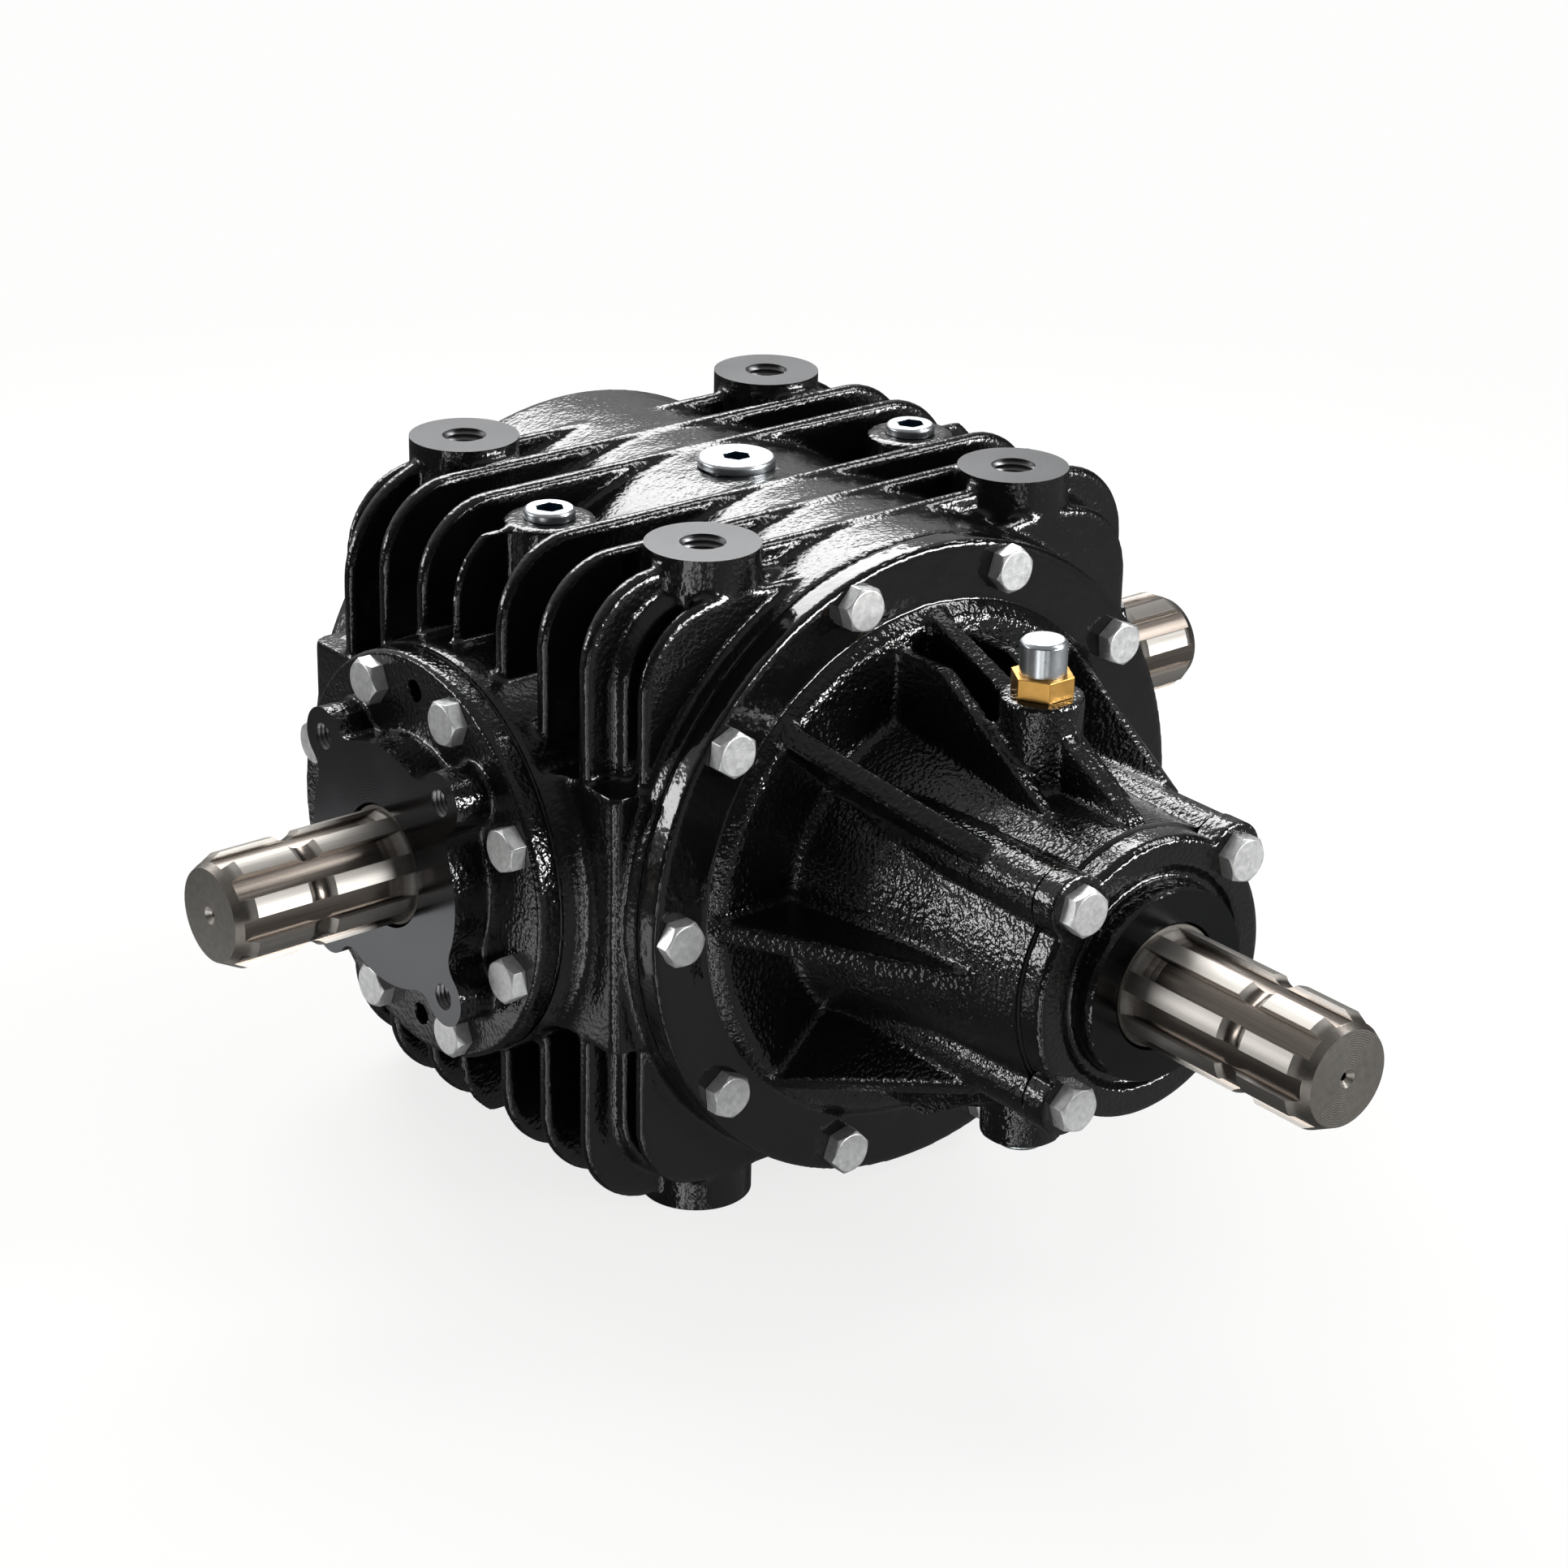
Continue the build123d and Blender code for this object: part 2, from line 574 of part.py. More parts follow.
def side_cover():
    """Side cover along +Z with its bearing spigot, bolt flange and four-eared mounting pad."""
    edge = side_cover_dia / 2
    flange = turned((cover_back, 0), (cover_back, edge), (cover_seat - 1, edge), (cover_seat, edge - 1),
                    (cover_seat, 0))
    spigot_r = output_bearing[1] / 2 - spigot_gap
    spigot = turned((output_cup_back, 0), (output_cup_back, spigot_r - 0.8), (output_cup_back + 0.8, spigot_r),
                    (cover_back + 1, spigot_r), (cover_back + 1, 0))
    ears = on_circle(Circle(pad_ear_dia / 2), pad_bolt_circle, 4, 45)
    pad_sketch = Circle(pad_disc_dia / 2) + ears
    pad_sketch = fillet(pad_sketch.vertices(), pad_blend)
    pad = extrude(Plane.XY.offset(cover_seat - 1) * pad_sketch, pad_rise + 1)
    inside = turned((output_cup_back - 1, 0), (output_cup_back - 1, 34), (output_cup_back + 3, 34),
                    (output_cup_back + 4, output_seal_dia / 2 + fit_gap), (pad_face - 4, output_seal_dia / 2 + fit_gap),
                    (pad_face - 4, seal_opening / 2), (pad_face + 1, seal_opening / 2), (pad_face + 1, 0))
    through = rod(bolt_dia + 2 * bolt_clearance, cover_back - 1, cover_seat + 1)
    jack = rod(bolt_dia - 1.2, cover_back - 1, cover_seat + 1)
    tap = rod(pad_tap_dia, pad_face - pad_tap_depth, pad_face + 1)
    cover = flange + spigot + pad - inside
    cover = cover - on_circle(through, side_bolt_circle, side_bolt_count, 22.5)
    cover = cover - on_circle(jack, jack_hole_circle, 2)
    return cover - on_circle(tap, pad_bolt_circle, 4, 45)


# ---- housing -------------------------------------------------------------------------------------
def fin(width, height, corner, thickness, row):
    """Upright fin across the input axis, with a rounded outline and bevelled rim."""
    plate = extrude(RectangleRounded(width, height, corner), thickness / 2, both=True)
    rims = plate.faces().sort_by(Axis.Z)[0].edges() + plate.faces().sort_by(Axis.Z)[-1].edges()
    return Pos(0, row, 0) * to_front * chamfer(rims, fin_bevel)


def fins():
    full = (fin_width, fin_height, fin_corner)
    plates = [fin(*full, fin_thick, fin_pitch * i) for i in (-3, -2, -1, 1, 2)]
    plates.append(fin(*rear_fin, fin_thick, 3 * fin_pitch))
    plates += [fin(*stub_fin, stub_fin_thick, side * row) for side in (-1, 1) for row in stub_fin_rows]
    middle = fin(*full, middle_fin_thick, middle_fin_row)
    middle = middle & Box(fin_width, 4 * fin_thick, 2 * (side_plug_seat - middle_fin_drop))
    return plates + (middle - Box(2 * side_plug_offset, 4 * fin_thick, fin_height)).solids()


def side_pedestal():
    """Round land for a side cover, along +Z, with the hollow that joins it to the belt."""
    half, foot = pedestal_dia / 2, belt_width / 2
    land = turned((0, 0), (0, half), (side_joint - 1, half), (side_joint, half - 1), (side_joint, 0))
    turns = [radians(90 * i / 6) for i in range(7)]
    hollow = [(foot + belt_blend * (1 - cos(t)), half + belt_blend * (1 - sin(t))) for t in turns]
    skirt = turned((foot - 2, 0), (foot - 2, half + belt_blend), *hollow, (foot + belt_blend, 0))
    return land + (skirt & Box(belt_height, belt_width, 4 * side_joint))


def housing():
    body = to_front * turned((-rear_face, 0), (-rear_face, barrel_r - rear_round),
                             (-rear_face + 0.3 * rear_round, barrel_r - 0.3 * rear_round),
                             (-rear_face + rear_round, barrel_r), (front_joint - 0.8, barrel_r),
                             (front_joint, barrel_r - 0.8), (front_joint, 0))
    belt = Pos(0, (belt_rear - belt_front) / 2, 0) * Box(belt_width, belt_front + belt_rear, belt_height)
    belt = fillet(belt.edges().filter_by(Axis.Z), belt_round)
    body = body + fins() + belt + [turn * side_pedestal() for turn in (to_right, to_left)]

    spots = GridLocations(boss_pitch_x, boss_pitch_y, 2, 2).locations
    boss = rod(boss_dia, -axis_height, -barrel_r / 2) + rod(boss_dia, barrel_r / 2, axis_height)
    tap = turned((axis_height - boss_tap_depth - 4, 0), (axis_height - boss_tap_depth, boss_tap_dia / 2),
                 (axis_height + 1, boss_tap_dia / 2), (axis_height + 1, 0))
    taps = tap + Rot(180, 0, 0) * tap
    body = body + [spot * boss for spot in spots]
    plug_spots = [Pos(side * side_plug_offset, 0, 0) for side in (-1, 1)]
    body = body + [spot * rod(side_plug_boss, barrel_r / 2, side_plug_seat) for spot in plug_spots]

    cavity = to_front * rod(cavity_dia, -rear_face + rear_wall, front_joint + 1)
    bearing_bore = to_right * rod(output_bearing[1] + 2 * fit_gap, -side_joint - 1, side_joint + 1)
    body = body - cavity - bearing_bore
    body = body - [spot * taps for spot in spots]
    side_tap = rod(side_plug_thread + 2 * thread_gap, 0, fin_height)
    fill_tap = rod(fill_plug_thread + 2 * thread_gap, 0, fin_height)
    body = body - [spot * side_tap for spot in plug_spots] - fill_tap
    bolt_r = bolt_dia + 2 * thread_gap
    bell_depth = bell_bolt_length - bell_flange_thick + 2
    bell_tap = rod(bolt_r, front_joint - bell_depth, front_joint + 1)
    body = body - [to_front * hole for hole in on_circle(bell_tap, bell_bolt_circle, bell_bolt_count)]
    side_depth = side_bolt_length - side_flange_thick + 2
    cover_tap = rod(bolt_r, side_joint - side_depth, side_joint + 1)
    holes = on_circle(cover_tap, side_bolt_circle, side_bolt_count, 22.5)
    spot_face = rod(fill_plug_head + 3, fill_plug_seat, fin_height)
    return body - spot_face - [turn * hole for turn in (to_right, to_left) for hole in holes]


def flange_shim(outside, inside, thickness, start, circle, count, first):
    plate = ring(outside, inside, start, start + thickness)
    hole = rod(bolt_dia + 2 * bolt_clearance, start - 1, start + thickness + 1)
    return plate - on_circle(hole, circle, count, first)


# ---- assembly --------------------------------------------------------------------------------------
def build_parts():
    nodes = {"housing": housing(), "input_cover": to_front * input_cover(), "input_cap": to_front * input_cap()}
    cover = side_cover()
    output_set = TaperedBearing(*output_bearing)
    seat = Pos(0, 0, output_cup_back) * Rot(180, 0, 0)
    seal = Pos(0, 0, pad_face - 4) * Rot(180, 0, 0) * shaft_seal(journal_dia, output_seal_dia, output_seal_width)
    side_bolt = Pos(0, 0, cover_seat) * hex_bolt(side_bolt_length)
    side_shim = flange_shim(side_cover_dia - 2, output_bearing[1] + 2, shim, side_joint, side_bolt_circle,
                            side_bolt_count, 22.5)
    for side, turn in (("left", to_left), ("right", to_right)):
        nodes[f"side_cover_{side}"] = turn * cover
        nodes[f"side_shim_{side}"] = turn * side_shim
        nodes[f"output_seal_{side}"] = turn * seal
        nodes[f"side_bolts_{side}"] = [turn * b for b in on_circle(side_bolt, side_bolt_circle, side_bolt_count, 22.5)]
        nodes[f"output_cup_{side}"] = turn * (seat * output_set.cup())
        nodes[f"output_cone_{side}"] = turn * (seat * output_set.cone())
        nodes[f"output_rollers_{side}"] = [turn * (seat * roller) for roller in output_set.rollers()]
        nodes[f"output_cage_{side}"] = turn * (seat * output_set.cage())

    front_set, rear_set = TaperedBearing(*front_bearing), TaperedBearing(*rear_bearing)
    places = (("front", front_set, Pos(0, 0, front_cup_back)),
              ("rear", rear_set, Pos(0, 0, rear_cup_back) * Rot(180, 0, 0)))
    for name, bearing, place in places:
        nodes[f"input_cup_{name}"] = to_front * (place * bearing.cup())
        nodes[f"input_cone_{name}"] = to_front * (place * bearing.cone())
        nodes[f"input_rollers_{name}"] = [to_front * (place * roller) for roller in bearing.rollers()]
        nodes[f"input_cage_{name}"] = to_front * (place * bearing.cage())

    nodes["cover_gasket"] = to_front * flange_shim(barrel_dia - 2, cavity_dia + 1, gasket, front_joint,
                                                   bell_bolt_circle, bell_bolt_count, 0)
    nodes["cap_gasket"] = to_front * flange_shim(nose_end_dia - 2, front_bearing[1] + 1, gasket, nose_end,
                                                 cap_bolt_circle, 4, 45)
    input_lip = shaft_seal(journal_dia, input_seal_dia, input_seal_width)
    nodes["input_seal"] = to_front * (Pos(0, 0, cap_back - 2 + input_seal_width) * Rot(180, 0, 0) * input_lip)
    bell_bolt = Pos(0, 0, bell_seat) * hex_bolt(bell_bolt_length)
    cap_bolt = Pos(0, 0, cap_seat) * hex_bolt(cap_bolt_length)
    nodes["cover_bolts"] = [to_front * b for b in on_circle(bell_bolt, bell_bolt_circle, bell_bolt_count)]
    nodes["cap_bolts"] = [to_front * b for b in on_circle(cap_bolt, cap_bolt_circle, 4, 45)]

    nodes["output_shaft"] = to_right * output_shaft()
    nodes["crown_gear"] = to_right * crown_gear()
    nodes["crown_key"] = to_right * shaft_key(crown_key, output_seat_dia, crown_hub_front + 4)
    nodes["output_spacer_right"] = to_right * output_spacer(crown_hub_back, output_cone_back)
    nodes["output_spacer_left"] = to_left * output_spacer(output_collar - crown_hub_front, output_cone_back)
    nodes["input_shaft"] = to_front * input_shaft()
    nodes["bevel_pinion"] = to_front * bevel_pinion()
    nodes["pinion_key"] = to_front * shaft_key(pinion_key, pinion_seat_dia, pinion_back - 6 - pinion_key[2])
    nodes["pinion_nut"] = to_front * pinion_nut()
    nodes["input_spacer"] = to_front * input_spacer()

    fill = socket_plug(fill_plug_thread, fill_plug_head, fill_plug_height, plug_thread_length)
    small = socket_plug(side_plug_thread, side_plug_head, side_plug_height, plug_thread_length)
    nodes["fill_plug"] = Pos(0, 0, fill_plug_seat) * fill
    nodes["level_plugs"] = [Pos(side * side_plug_offset, 0, side_plug_seat) * small for side in (-1, 1)]
    nodes["drain_plug"] = Pos(0, -breather_axis, -breather_boss_top) * Rot(180, 0, 0) * small
    nodes["breather_body"] = Pos(0, -breather_axis, breather_boss_top) * breather_body()
    nodes["breather_cap"] = Pos(0, -breather_axis, breather_boss_top) * breather_cap()
    return nodes


def breather_body():
    stem = turned((-12, 0), (-12, breather_tap_dia / 2 - 1), (-11, breather_tap_dia / 2), (0.5, breather_tap_dia / 2),
                  (0.5, 0))
    neck = rod(breather_cap_dia - 4, breather_hex_height - 0.5, breather_hex_height + 3)
    return stem + hexagon(breather_hex, 0, breather_hex_height) + neck - rod(breather_bore, -13, breather_hex_height + 4)


def breather_cap():
    top, half = breather_hex_height + breather_cap_height, breather_cap_dia / 2
    bore = breather_cap_dia / 2 - 2 + fit_gap
    return turned((breather_hex_height, bore), (breather_hex_height, half), (top - 1, half), (top, half - 1), (top, 0),
                  (breather_hex_height + 3.2, 0), (breather_hex_height + 3.2, bore))


def main():
    os.makedirs("parts", exist_ok=True)
    lift = Pos(0, 0, axis_height)
    for name, shape in build_parts().items():
        solids = shape if isinstance(shape, list) else [shape]
        placed = [solid for piece in solids for solid in (lift * piece).solids()]
        export_step(Compound(children=placed) if len(placed) > 1 else placed[0], f"parts/{name}.step")


main()
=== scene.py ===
# %% [markdown]
# # Right-angle T gearbox
# The engineering model arrives first, as a fixed frame: each of its parts is already an object in
# the right place, in metres, with +Z up. This lesson gives those parts their finishes, rebuilds the
# castings as castings, and lights them. The box round the frame is measured again at the end.

# %% Load the frame
import json
import math

import bpy
from mathutils import Matrix, Vector

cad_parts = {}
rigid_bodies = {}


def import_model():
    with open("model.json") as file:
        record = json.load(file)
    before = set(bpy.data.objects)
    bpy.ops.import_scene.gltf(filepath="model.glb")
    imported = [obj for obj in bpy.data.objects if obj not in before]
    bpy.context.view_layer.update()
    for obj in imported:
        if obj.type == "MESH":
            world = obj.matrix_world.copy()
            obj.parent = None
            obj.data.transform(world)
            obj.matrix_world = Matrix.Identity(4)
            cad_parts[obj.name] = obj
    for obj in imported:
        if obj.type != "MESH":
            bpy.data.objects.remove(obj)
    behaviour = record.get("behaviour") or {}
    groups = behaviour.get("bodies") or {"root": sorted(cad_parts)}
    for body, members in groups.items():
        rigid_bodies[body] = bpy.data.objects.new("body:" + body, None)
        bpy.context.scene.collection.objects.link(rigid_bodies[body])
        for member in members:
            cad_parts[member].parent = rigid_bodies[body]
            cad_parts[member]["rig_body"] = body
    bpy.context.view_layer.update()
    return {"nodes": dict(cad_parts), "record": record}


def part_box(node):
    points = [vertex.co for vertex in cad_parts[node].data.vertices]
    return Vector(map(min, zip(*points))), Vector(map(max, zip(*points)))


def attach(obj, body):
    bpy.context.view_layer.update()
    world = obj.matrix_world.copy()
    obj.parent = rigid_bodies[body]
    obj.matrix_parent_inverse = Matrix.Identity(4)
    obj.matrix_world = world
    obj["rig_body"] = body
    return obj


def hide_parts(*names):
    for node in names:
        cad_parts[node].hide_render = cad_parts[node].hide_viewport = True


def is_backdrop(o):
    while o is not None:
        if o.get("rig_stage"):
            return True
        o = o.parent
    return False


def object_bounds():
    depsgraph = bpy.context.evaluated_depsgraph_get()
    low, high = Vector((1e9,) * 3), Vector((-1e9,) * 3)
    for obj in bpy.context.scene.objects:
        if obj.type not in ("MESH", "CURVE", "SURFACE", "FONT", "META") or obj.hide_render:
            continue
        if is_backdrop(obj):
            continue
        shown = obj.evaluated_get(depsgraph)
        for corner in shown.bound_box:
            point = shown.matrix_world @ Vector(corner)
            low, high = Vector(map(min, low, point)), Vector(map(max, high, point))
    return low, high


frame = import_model()

# %% [markdown]
# ## Units and landmarks
# The shaft axes cross above the middle of the lower bosses. Working from that crossing keeps every
# number below the same as on a drawing, so one helper turns millimetres from the crossing into
# metres.

# %% Landmarks
MM = 0.001
AXIS_HEIGHT = 108 * MM


def at(x, y, z):
    """A point given in millimetres from the crossing of the shaft axes."""
    return Vector((x * MM, y * MM, z * MM + AXIS_HEIGHT))


print("the shaft axes cross at", tuple(at(0, 0, 0)))

# %% [markdown]
# ## A small shader language
# Procedural finishes are arithmetic on noise. Placing Math nodes by hand works, but it hides the
# formula in a web of links. Instead, a socket is wrapped in a class whose + - * add those nodes, so
# a finish reads like the sum that it is. Each operator has its reflected form, so that 1 - mask
# works too.

# %% Wires
class Wire:
    """A shader socket that does arithmetic."""

    def __init__(self, network, socket):
        self.network = network
        self.socket = socket

    def math(self, operation, first, second=0.0):
        return self.network.node("Math", {"operation": operation}, {0: first, 1: second})

    def __add__(self, other):
        return self.math("ADD", self, other)

    def __radd__(self, other):
        return self.math("ADD", other, self)

    def __sub__(self, other):
        return self.math("SUBTRACT", self, other)

    def __rsub__(self, other):
        return self.math("SUBTRACT", other, self)

    def __mul__(self, other):
        return self.math("MULTIPLY", self, other)

    def __rmul__(self, other):
        return self.math("MULTIPLY", other, self)

    def __abs__(self):
        return self.math("ABSOLUTE", self)

    def step(self, low, high):
        """0 below low and 1 above high, with a soft change between them."""
        edges = {"Value": self, "From Min": low, "From Max": high}
        return self.network.node("MapRange", {"interpolation_type": "SMOOTHSTEP"}, edges)


# %% [markdown]
# Every other node comes from one method. It takes the node's type, its settings, which come first
# because some of them change the sockets, and then what each socket gets: a number, a colour or
# another wire. Materials and the world are both networks, so they share it.

# %% Nodes
class Network:
    """The shader nodes of a material or of the world."""

    def __init__(self, data):
        self.data = data
        self.data.use_nodes = True
        self.tree = self.data.node_tree
        self.tree.nodes.clear()

    def node(self, kind, settings=None, values=None, output=0):
        """Adds a node, sets it up, feeds its sockets and hands back one of its outputs."""
        made = self.tree.nodes.new("ShaderNode" + kind)
        for name, value in (settings or {}).items():
            setattr(made, name, value)
        for name, value in (values or {}).items():
            socket = made.inputs[name]
            if isinstance(value, Wire):
                self.tree.links.new(value.socket, socket)
            elif socket.type == "RGBA" and len(value) == 3:
                socket.default_value = (*value, 1.0)
            else:
                socket.default_value = value
        return Wire(self, made.outputs[output]) if made.outputs else made

    def split(self, vector):
        """The x, y and z of a vector."""
        parts = self.node("SeparateXYZ", None, {0: vector}).socket.node
        return [Wire(self, output) for output in parts.outputs]

    def rays(self, *kinds):
        """Masks of the rays that look at a surface: Camera, Glossy or Transmission."""
        path = self.node("LightPath").socket.node
        return [Wire(self, path.outputs[f"Is {kind} Ray"]) for kind in kinds]

    def distance(self, first, second):
        """How far a point is from an axis, from its two offsets across that axis."""
        return self.node("Math", {"operation": "SQRT"}, {0: first * first + second * second})


# %% [markdown]
# A finish adds the few moves that all the surfaces share: where a point lies, a noise, a blend of
# two colours, a relief, and the shader that closes the material. They could be written out each
# time, but then a change of habit would have to be made a dozen times over.

# %% Finishes
COLOUR_A, COLOUR_B, COLOUR_RESULT = 6, 7, 2  # sockets of a Mix node that blends colours


class Finish(Network):
    """A material, built from a few shared moves."""

    def __init__(self, name):
        super().__init__(bpy.data.materials.new(name))

    def place(self):
        """Object coordinates, which stay with a part as it turns."""
        return self.node("TexCoord", output="Object")

    def rings(self, radius, density):
        """Even waves round an axis, as a cutting tool leaves them."""
        return self.node("Math", {"operation": "SINE"}, {0: radius * density})

    def noise(self, scale, detail=2.0, roughness=0.5, where=None):
        values = {"Scale": scale, "Detail": detail, "Roughness": roughness}
        values["Vector"] = where or self.place()
        return self.node("TexNoise", None, values, output="Fac")

    def mix(self, factor, dark, light):
        """A colour between two others."""
        values = {0: factor, COLOUR_A: dark, COLOUR_B: light}
        return self.node("Mix", {"data_type": "RGBA"}, values, output=COLOUR_RESULT)

    def bump(self, height, distance, strength=1.0, base=None):
        values = {"Strength": strength, "Distance": distance, "Height": height}
        if base:
            values["Normal"] = base
        return self.node("Bump", None, values, output="Normal")

    def surface(self, **values):
        """Closes the material with a Principled shader; base_color stands for Base Color."""
        named = {}
        for name, value in values.items():
            named[name.replace("_", " ").title().replace("Ior", "IOR")] = value
        shader = self.node("BsdfPrincipled", None, named)
        self.node("OutputMaterial", None, {"Surface": shader})
        print("finish", self.data.name, "has", len(self.tree.nodes), "nodes")
        return self.data


# %% [markdown]
# ## Black enamel
# The castings are sprayed gloss black straight over the sand-cast skin. The enamel levels out on
# the smooth fins and sinks into the grain of the nose. A picture of a casting would repeat and blur
# up close, so two noises make the skin instead: a broad waviness carries a fine grain. Their scale
# counts noise cells in a metre, so 700 gives grains of about a millimetre and a half. On the bell,
# the paint has also filled most of the grain of the flange, which lies outside a circle.

# %% Black enamel
GRAINS, WAVES, SHEEN_PATCHES, TINT_PATCHES = 700, 120, 55, 90
GRAIN_DEPTH, WAVE_DEPTH, WAVE_STRENGTH = 0.42 * MM, 0.50 * MM, 0.7
FILLED = 0.85  # share of the grain that the paint fills on the flange
NOWHERE, FLANGE = 1000 * MM, 84 * MM  # how far out from the axis the filled grain begins
DEEP_BLACK, WORN_BLACK = (0.0018, 0.0018, 0.0020), (0.0042, 0.0042, 0.0047)
WET_LOOK = 0.75  # mirrors more than common paint, whose level is 0.5


def black_enamel(name, grain, sheen, filled_beyond=NOWHERE):
    """Enamel over sand grain, filled beyond a distance from the input shaft's axis."""
    finish = Finish(name)
    x, y, z = finish.split(finish.place())
    radius = finish.distance(x, z - AXIS_HEIGHT)
    kept = 1 - FILLED * radius.step(filled_beyond - MM, filled_beyond + MM)
    sand = finish.noise(GRAINS, 1.0, 0.45) * kept
    wavy = finish.bump(finish.noise(WAVES, 2), WAVE_DEPTH, WAVE_STRENGTH)
    skin = finish.bump(sand, GRAIN_DEPTH, grain, wavy)
    rough = sheen + 0.08 * finish.noise(SHEEN_PATCHES, 3) + 0.05 * grain * sand
    tone = finish.mix(finish.noise(TINT_PATCHES, 3), DEEP_BLACK, WORN_BLACK)
    return finish.surface(base_color=tone, roughness=rough, normal=skin,
                          specular_ior_level=WET_LOOK)


enamel = black_enamel("black_enamel", 0.45, 0.12)
cover_enamel = black_enamel("black_enamel_cover", 0.65, 0.08)
rough_enamel = black_enamel("black_enamel_rough", 1.0, 0.06, FLANGE)

# %% [markdown]
# ## Machined black
# Faces that were machined and then blackened lose the grain. They keep faint circles from the
# cutter and shine like dark metal, so they mirror the shaft that passes through them. An anisotropic
# shader could stretch the highlights instead, but it needs a mesh that runs round the axis, and a
# casting's doesn't. Waves round one of the three axes give the circles on any mesh.

# %% Machined black
CUTTER_MARKS = 7000  # radians in a metre, so a circle every 0.9 mm
MARK_DEPTH, MARK_STRENGTH = 0.008 * MM, 0.35
SPECKS, SMUDGES, SMUDGE_SHADE = 1500, 60, 0.8


def machined_black(name, axis, tone, rough):
    """Dark metal with circles round an axis."""
    finish = Finish(name)
    x, y, z = finish.split(finish.place())
    height = z - AXIS_HEIGHT
    across = {"x": (y, height), "y": (x, height), "z": (x, y)}[axis]
    marks = finish.rings(finish.distance(*across), CUTTER_MARKS)
    skin = finish.bump(marks + 2 * finish.noise(SPECKS, 2), MARK_DEPTH, MARK_STRENGTH)
    smudges = finish.noise(SMUDGES, 3)
    shade = finish.mix(smudges, tuple(SMUDGE_SHADE * part for part in tone), tone)
    rough = rough + 0.1 * smudges
    return finish.surface(base_color=shade, metallic=1.0, roughness=rough, normal=skin)


milled_black = machined_black("milled_black", "z", (0.105, 0.107, 0.11), 0.30)
turned_black_x = machined_black("turned_black_x", "x", (0.110, 0.112, 0.120), 0.12)
turned_black_y = machined_black("turned_black_y", "y", (0.045, 0.046, 0.048), 0.17)

# %% [markdown]
# ## Plain metals
# Zinc plate is pale and slightly cloudy, and dull enough to scatter some light, so it isn't wholly
# metallic. Brass, bare steel and ground steel differ only in colour and in polish. Each could have a
# material of its own, but one recipe with two colours makes them all: clouds run from the dark one
# to the light one, and roughen the surface a little.

# %% Plain metals
POLISH_GRAIN, POLISH_DEPTH = 1800, 0.05 * MM
CLOUD_ROUGHNESS = 0.16


def metal(name, dark, light, rough, grain=0.15, cloud=160, shine=1.0):
    """Cloudy metal between two tones."""
    finish = Finish(name)
    clouds = finish.noise(cloud, 4, 0.6)
    skin = finish.bump(finish.noise(POLISH_GRAIN, 3), POLISH_DEPTH, grain)
    tone = finish.mix(clouds, dark, light)
    rough = rough + CLOUD_ROUGHNESS * clouds
    return finish.surface(base_color=tone, metallic=shine, roughness=rough, normal=skin)


zinc = metal("zinc_plate", (0.40, 0.41, 0.42), (0.98, 0.98, 0.98), 0.30, 0.9, 520, shine=0.72)
bright_zinc = metal("clear_zinc", (0.52, 0.56, 0.59), (0.78, 0.81, 0.83), 0.22, 0.3)
brass = metal("yellow_brass", (0.56, 0.28, 0.06), (0.98, 0.58, 0.17), 0.24)
# the sockets' blue plating, darkened as painted shade because the sockets lie in shade
blued_zinc = metal("blued_zinc", (0.05, 0.10, 0.14), (0.13, 0.22, 0.30), 0.20)
thread_steel = metal("thread_steel", (0.16, 0.16, 0.165), (0.34, 0.34, 0.35), 0.22)
gear_steel = metal("hardened_steel", (0.24, 0.24, 0.25), (0.40, 0.40, 0.41), 0.28)
ground_steel = metal("ground_steel", (0.60, 0.60, 0.61), (0.74, 0.74, 0.75), 0.12, 0.05)
turned_steel = metal("plain_steel", (0.38, 0.38, 0.39), (0.55, 0.55, 0.56), 0.25)
cage_steel = metal("pressed_steel", (0.20, 0.20, 0.21), (0.32, 0.32, 0.33), 0.35)

# %% [markdown]
# ## Splined steel
# The shaft ends are bare steel under a film of oil. The hob leaves the valleys brown and streaked
# along the shaft, and their colour is also darkened there as painted shade between the teeth;
# grinding leaves the tooth tops pale and satin, and the lathe leaves circles on the faced ends. The
# shafts are kept as the frame gives them, so no face of theirs can be painted. One finish tells the
# places apart instead, by the distance from the axis and by how far a face looks along it.

# %% Splined steel
VALLEYS, TOOTH_TOPS = 16.4 * MM, 17.4 * MM
SLOPED, FACED = (0.35, 0.55), (0.90, 0.97)  # how far a face looks along the shaft
ALONG, ACROSS = 30, 1600  # streaks are long along the shaft and fine across it
STREAK_DEPTH, STREAK_STRENGTH = 0.03 * MM, 0.4
LATHE_MARKS, FACE_PATCHES = 9000, 420
BEVEL_TONE = (0.46, 0.43, 0.395)


